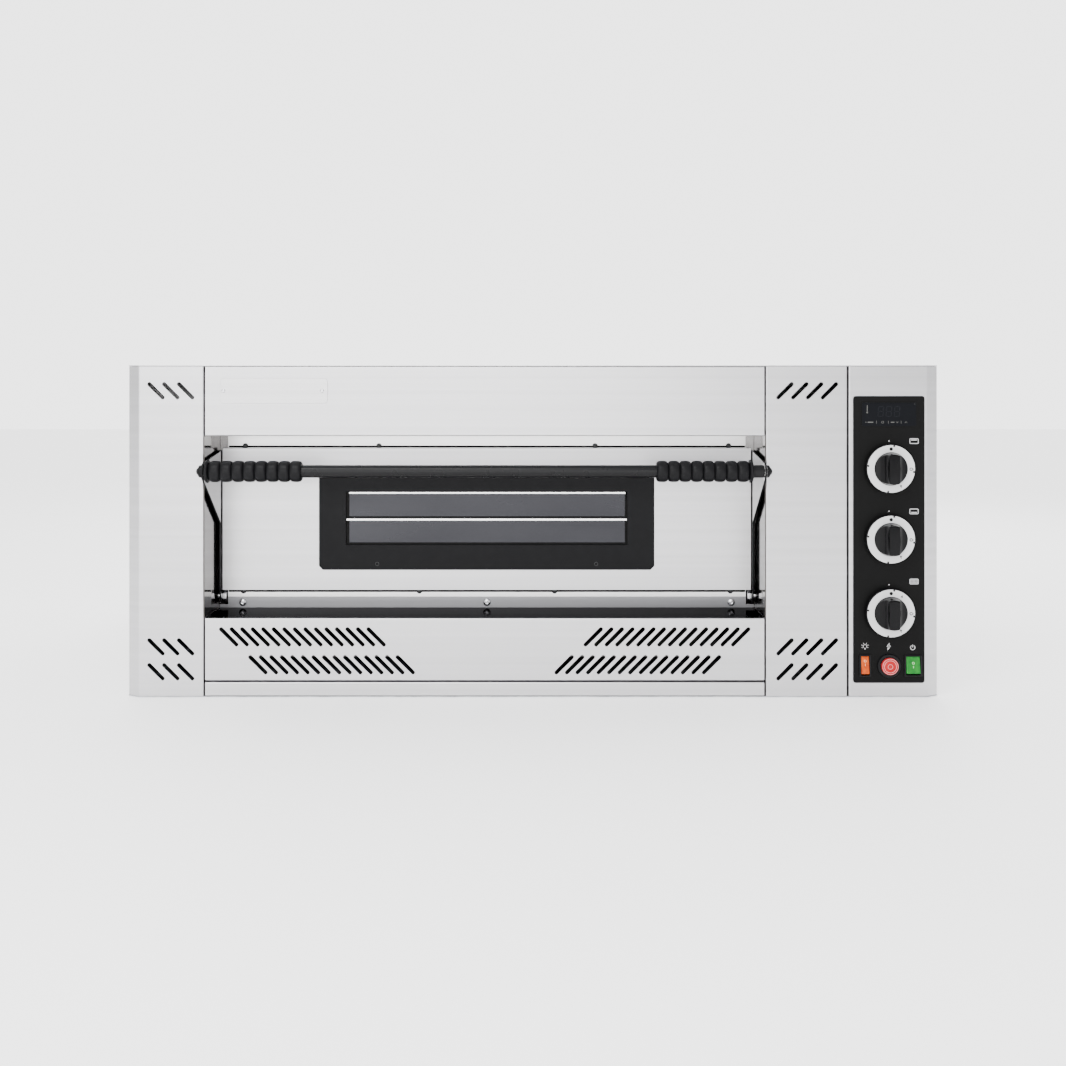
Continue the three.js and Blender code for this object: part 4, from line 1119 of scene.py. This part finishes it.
def knob_ring(name, centre):
    low, high = -0.0002, 0.0003
    profile = [(ring_inner, low), (ring_outer, low), (ring_outer, high - 0.0001), (ring_outer - 0.0002, high)]
    profile += [(ring_inner + 0.0002, high), (ring_inner, high - 0.0001), (ring_inner, low)]
    return turned(name, profile, (centre[0], skirt_front, centre[1]), "front", 96)


def knob_marks(centre, extra):
    """Notches at the ring's rim, the index dot and the two flame signs, printed in black."""
    span = (skirt_front - 0.00042, skirt_front - 0.00020)
    made = [printed_dot((centre[0], centre[1] + 0.0318), 0.0028, 20, span)]
    for place in around(centre, 0.0367, [math.radians(90 * quarter + 82.5) for quarter in range(4)]):
        made.append(printed_dot(place, 0.0017, 12, span))
    flame = (centre[0] + 0.0318, centre[1] - 0.0004)
    made.append(printed_arc(flame, 0.0020, 0.0012, 35, 290, 16, span))
    for side in (-1, 1):
        start = (flame[0] + 0.0014, flame[1] + side * 0.0014)
        made.append(printed_bar(start, (flame[0] + 0.0036, flame[1]), 0.0010, span))
    small = (centre[0] + 0.0156, centre[1] - 0.0272)
    made.append(printed_dot(small, 0.0015, 12, span))
    tail = (small[0] + 0.0012, small[1] - 0.0034)
    made.append(printed_bar((small[0], small[1] - 0.0016), tail, 0.0007, span))
    if extra:
        tip = (centre[0] + 0.0150, centre[1] + 0.0262)
        corners = [tip, (tip[0] + 0.0036, tip[1] - 0.0016), (tip[0] + 0.0030, tip[1] + 0.0030)]
        made.append(printed(corners, span))
    return made


for name, height in knob_heights.items():
    centre = (knob_x, height)
    hub = knob_hub(centre)
    hub.name = name + "_knob_body"
    settle(hub, name + "_knob", "black_plastic", knob_black, name + "_knob", angle=30)
    settle(knob_ring(name + "_knob_scale", centre), name + "_knob", "black_plastic", ring_grey)
    marks = joined(name + "_knob_marks", knob_marks(centre, name == "bottom"))
    settle(marks, name + "_knob", "black_plastic", mark_black)

# Gas taps. Each valve body is cast brass on the manifold, with a turned plug
# and spindle that the knob fits on.
brass = textured(
    "cast_brass", (0.44, 0.28, 0.09), (0.28, 0.48), (160, 160, 160), 4, 1.0,
    tones=((0.34, 0.21, 0.06), (0.52, 0.34, 0.12)), bumps=(0.25, 0.0002),
)
for name in knob_heights:
    fitted(name + "_valve_body", name + "_valve_casting", 0.0005, "brass", brass)
    fitted(name + "_valve_plug", name + "_valve_spindle", 0.0003, "brass", brass, name + "_valve", 1)

# Switches. Two rockers of tinted translucent plastic, orange for the lamp and
# green for the power, snapped into glossy black bezels.
bezel_black = gloss_plastic("bezel_black", (0.003, 0.003, 0.0035), (0.3, 0.4), 0.15)


def lens_plastic(name, deep, bright, painted_glow):
    made = gloss_plastic(name, bright, (0.10, 0.18), 0.2)
    tint(made, grain(made, (150, 60, 90), 3), deep, bright)
    dial(made, "Coat Weight", 0.2)
    dial(made, "Coat Roughness", 0.05)
    # A faint emission makes the rocker glow from within: painted light.
    dial(made, "Emission Color", (*painted_glow, 1))
    dial(made, "Emission Strength", 0.15)
    return made


orange = lens_plastic("orange_lens", (0.30, 0.025, 0.0), (0.52, 0.075, 0.0), (1.0, 0.16, 0.0))
green = lens_plastic("green_lens", (0.0, 0.075, 0.010), (0.012, 0.19, 0.018), (0.0, 0.30, 0.03))
rocker_marks = {
    "light": (orange, "orange_lens", ink("orange_mark", (0.95, 0.45, 0.22)), 0.0064),
    "power": (green, "green_lens", ink("green_mark", (0.42, 0.80, 0.36)), 0.0030),
}
mark_span = (-0.0001, 0.0001)
for name, (finish, slot, mark_ink, mark_height) in rocker_marks.items():
    fitted(name + "_switch_body", name + "_switch_bezel", 0.0006, "black_plastic", bezel_black, segments=3)
    rocker = fitted(name + "_rocker", name + "_rocker_lens", 0.0009, slot, finish, name + "_rocker", 3)
    face = max((face for face in rocker.data.polygons if face.normal.y < -0.7), key=lambda face: face.area)
    mark = joined(
        name + "_rocker_mark",
        [
            printed_arc((0, mark_height), 0.0017, 0.0006, 0, 360, 20, mark_span),
            printed_bar((0, mark_height - 0.0078), (0, mark_height - 0.0042), 0.0008, mark_span),
        ],
    )
    mark.rotation_euler = (math.atan2(-face.normal.z, -face.normal.y), 0, 0)
    mark.location = face.center
    settle(mark, name + "_rocker", slot, mark_ink)

# Igniter button. A red push button with moulded rings, in a round black
# bezel; it presses in four millimetres against a spring.
fitted("igniter_body", "igniter_bezel", 0.0006, "black_plastic", bezel_black, segments=3)
button_low, button_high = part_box("igniter_button")
button_middle = middle("igniter_button")
button_radius = (button_high.x - button_low.x) / 2
button_back = button_low.y - button_high.y
ridge_points = []
for ridge in (0.92, 0.72, 0.50, 0.28):
    ridge_points += [
        (button_radius * (ridge + 0.055), -0.0007),
        (button_radius * (ridge + 0.030), -0.0001),
        (button_radius * (ridge - 0.030), -0.0001),
        (button_radius * (ridge - 0.055), -0.0007),
        (button_radius * (ridge - 0.085), -0.0009),
    ]
button_profile = [
    (0, button_back), (button_radius * 0.985, button_back), (button_radius, button_back + 0.0003),
    (button_radius, -0.0012), *ridge_points, (button_radius * 0.12, -0.0004), (0, -0.0003),
]
button = turned(
    "igniter_push_button", button_profile, (button_middle[0], button_low.y, button_middle[1]), "front", 56
)
red = gloss_plastic("red_button", (0.42, 0.012, 0.016), (0.22, 0.32), 0.15)
tint(red, grain(red, (60, 60, 60), 3), (0.36, 0.010, 0.013), (0.46, 0.018, 0.022))
settle(button, "igniter_button", "red_button", red, "igniter_button", angle=25)
ring_ink = ink("button_ring_ink", (0.80, 0.30, 0.30))
ring_span = (button_low.y - 0.0001, button_low.y + 0.0002)
rings = [
    printed_arc(button_middle, button_radius * share, button_radius * 0.05, 0, 360, 40, ring_span)
    for share in (0.92, 0.72, 0.28)
]
settle(joined("igniter_button_rings", rings), "igniter_button", "red_button", ring_ink)

# Controller and rear fittings. A plastic case behind the display, a brass gas
# inlet and a black cable gland in the rear panel.
case_plastic = gloss_plastic("case_plastic", (0.05, 0.05, 0.052), (0.45, 0.6), 0.3)
fitted("controller_box", "controller_case", 0.0015, "black_plastic", case_plastic, segments=3)
fitted("gas_inlet", "gas_inlet_nipple", 0.0005, "brass", brass)
fitted("cable_gland", "cable_gland_nut", 0.0008, "black_plastic", bezel_black, segments=3)
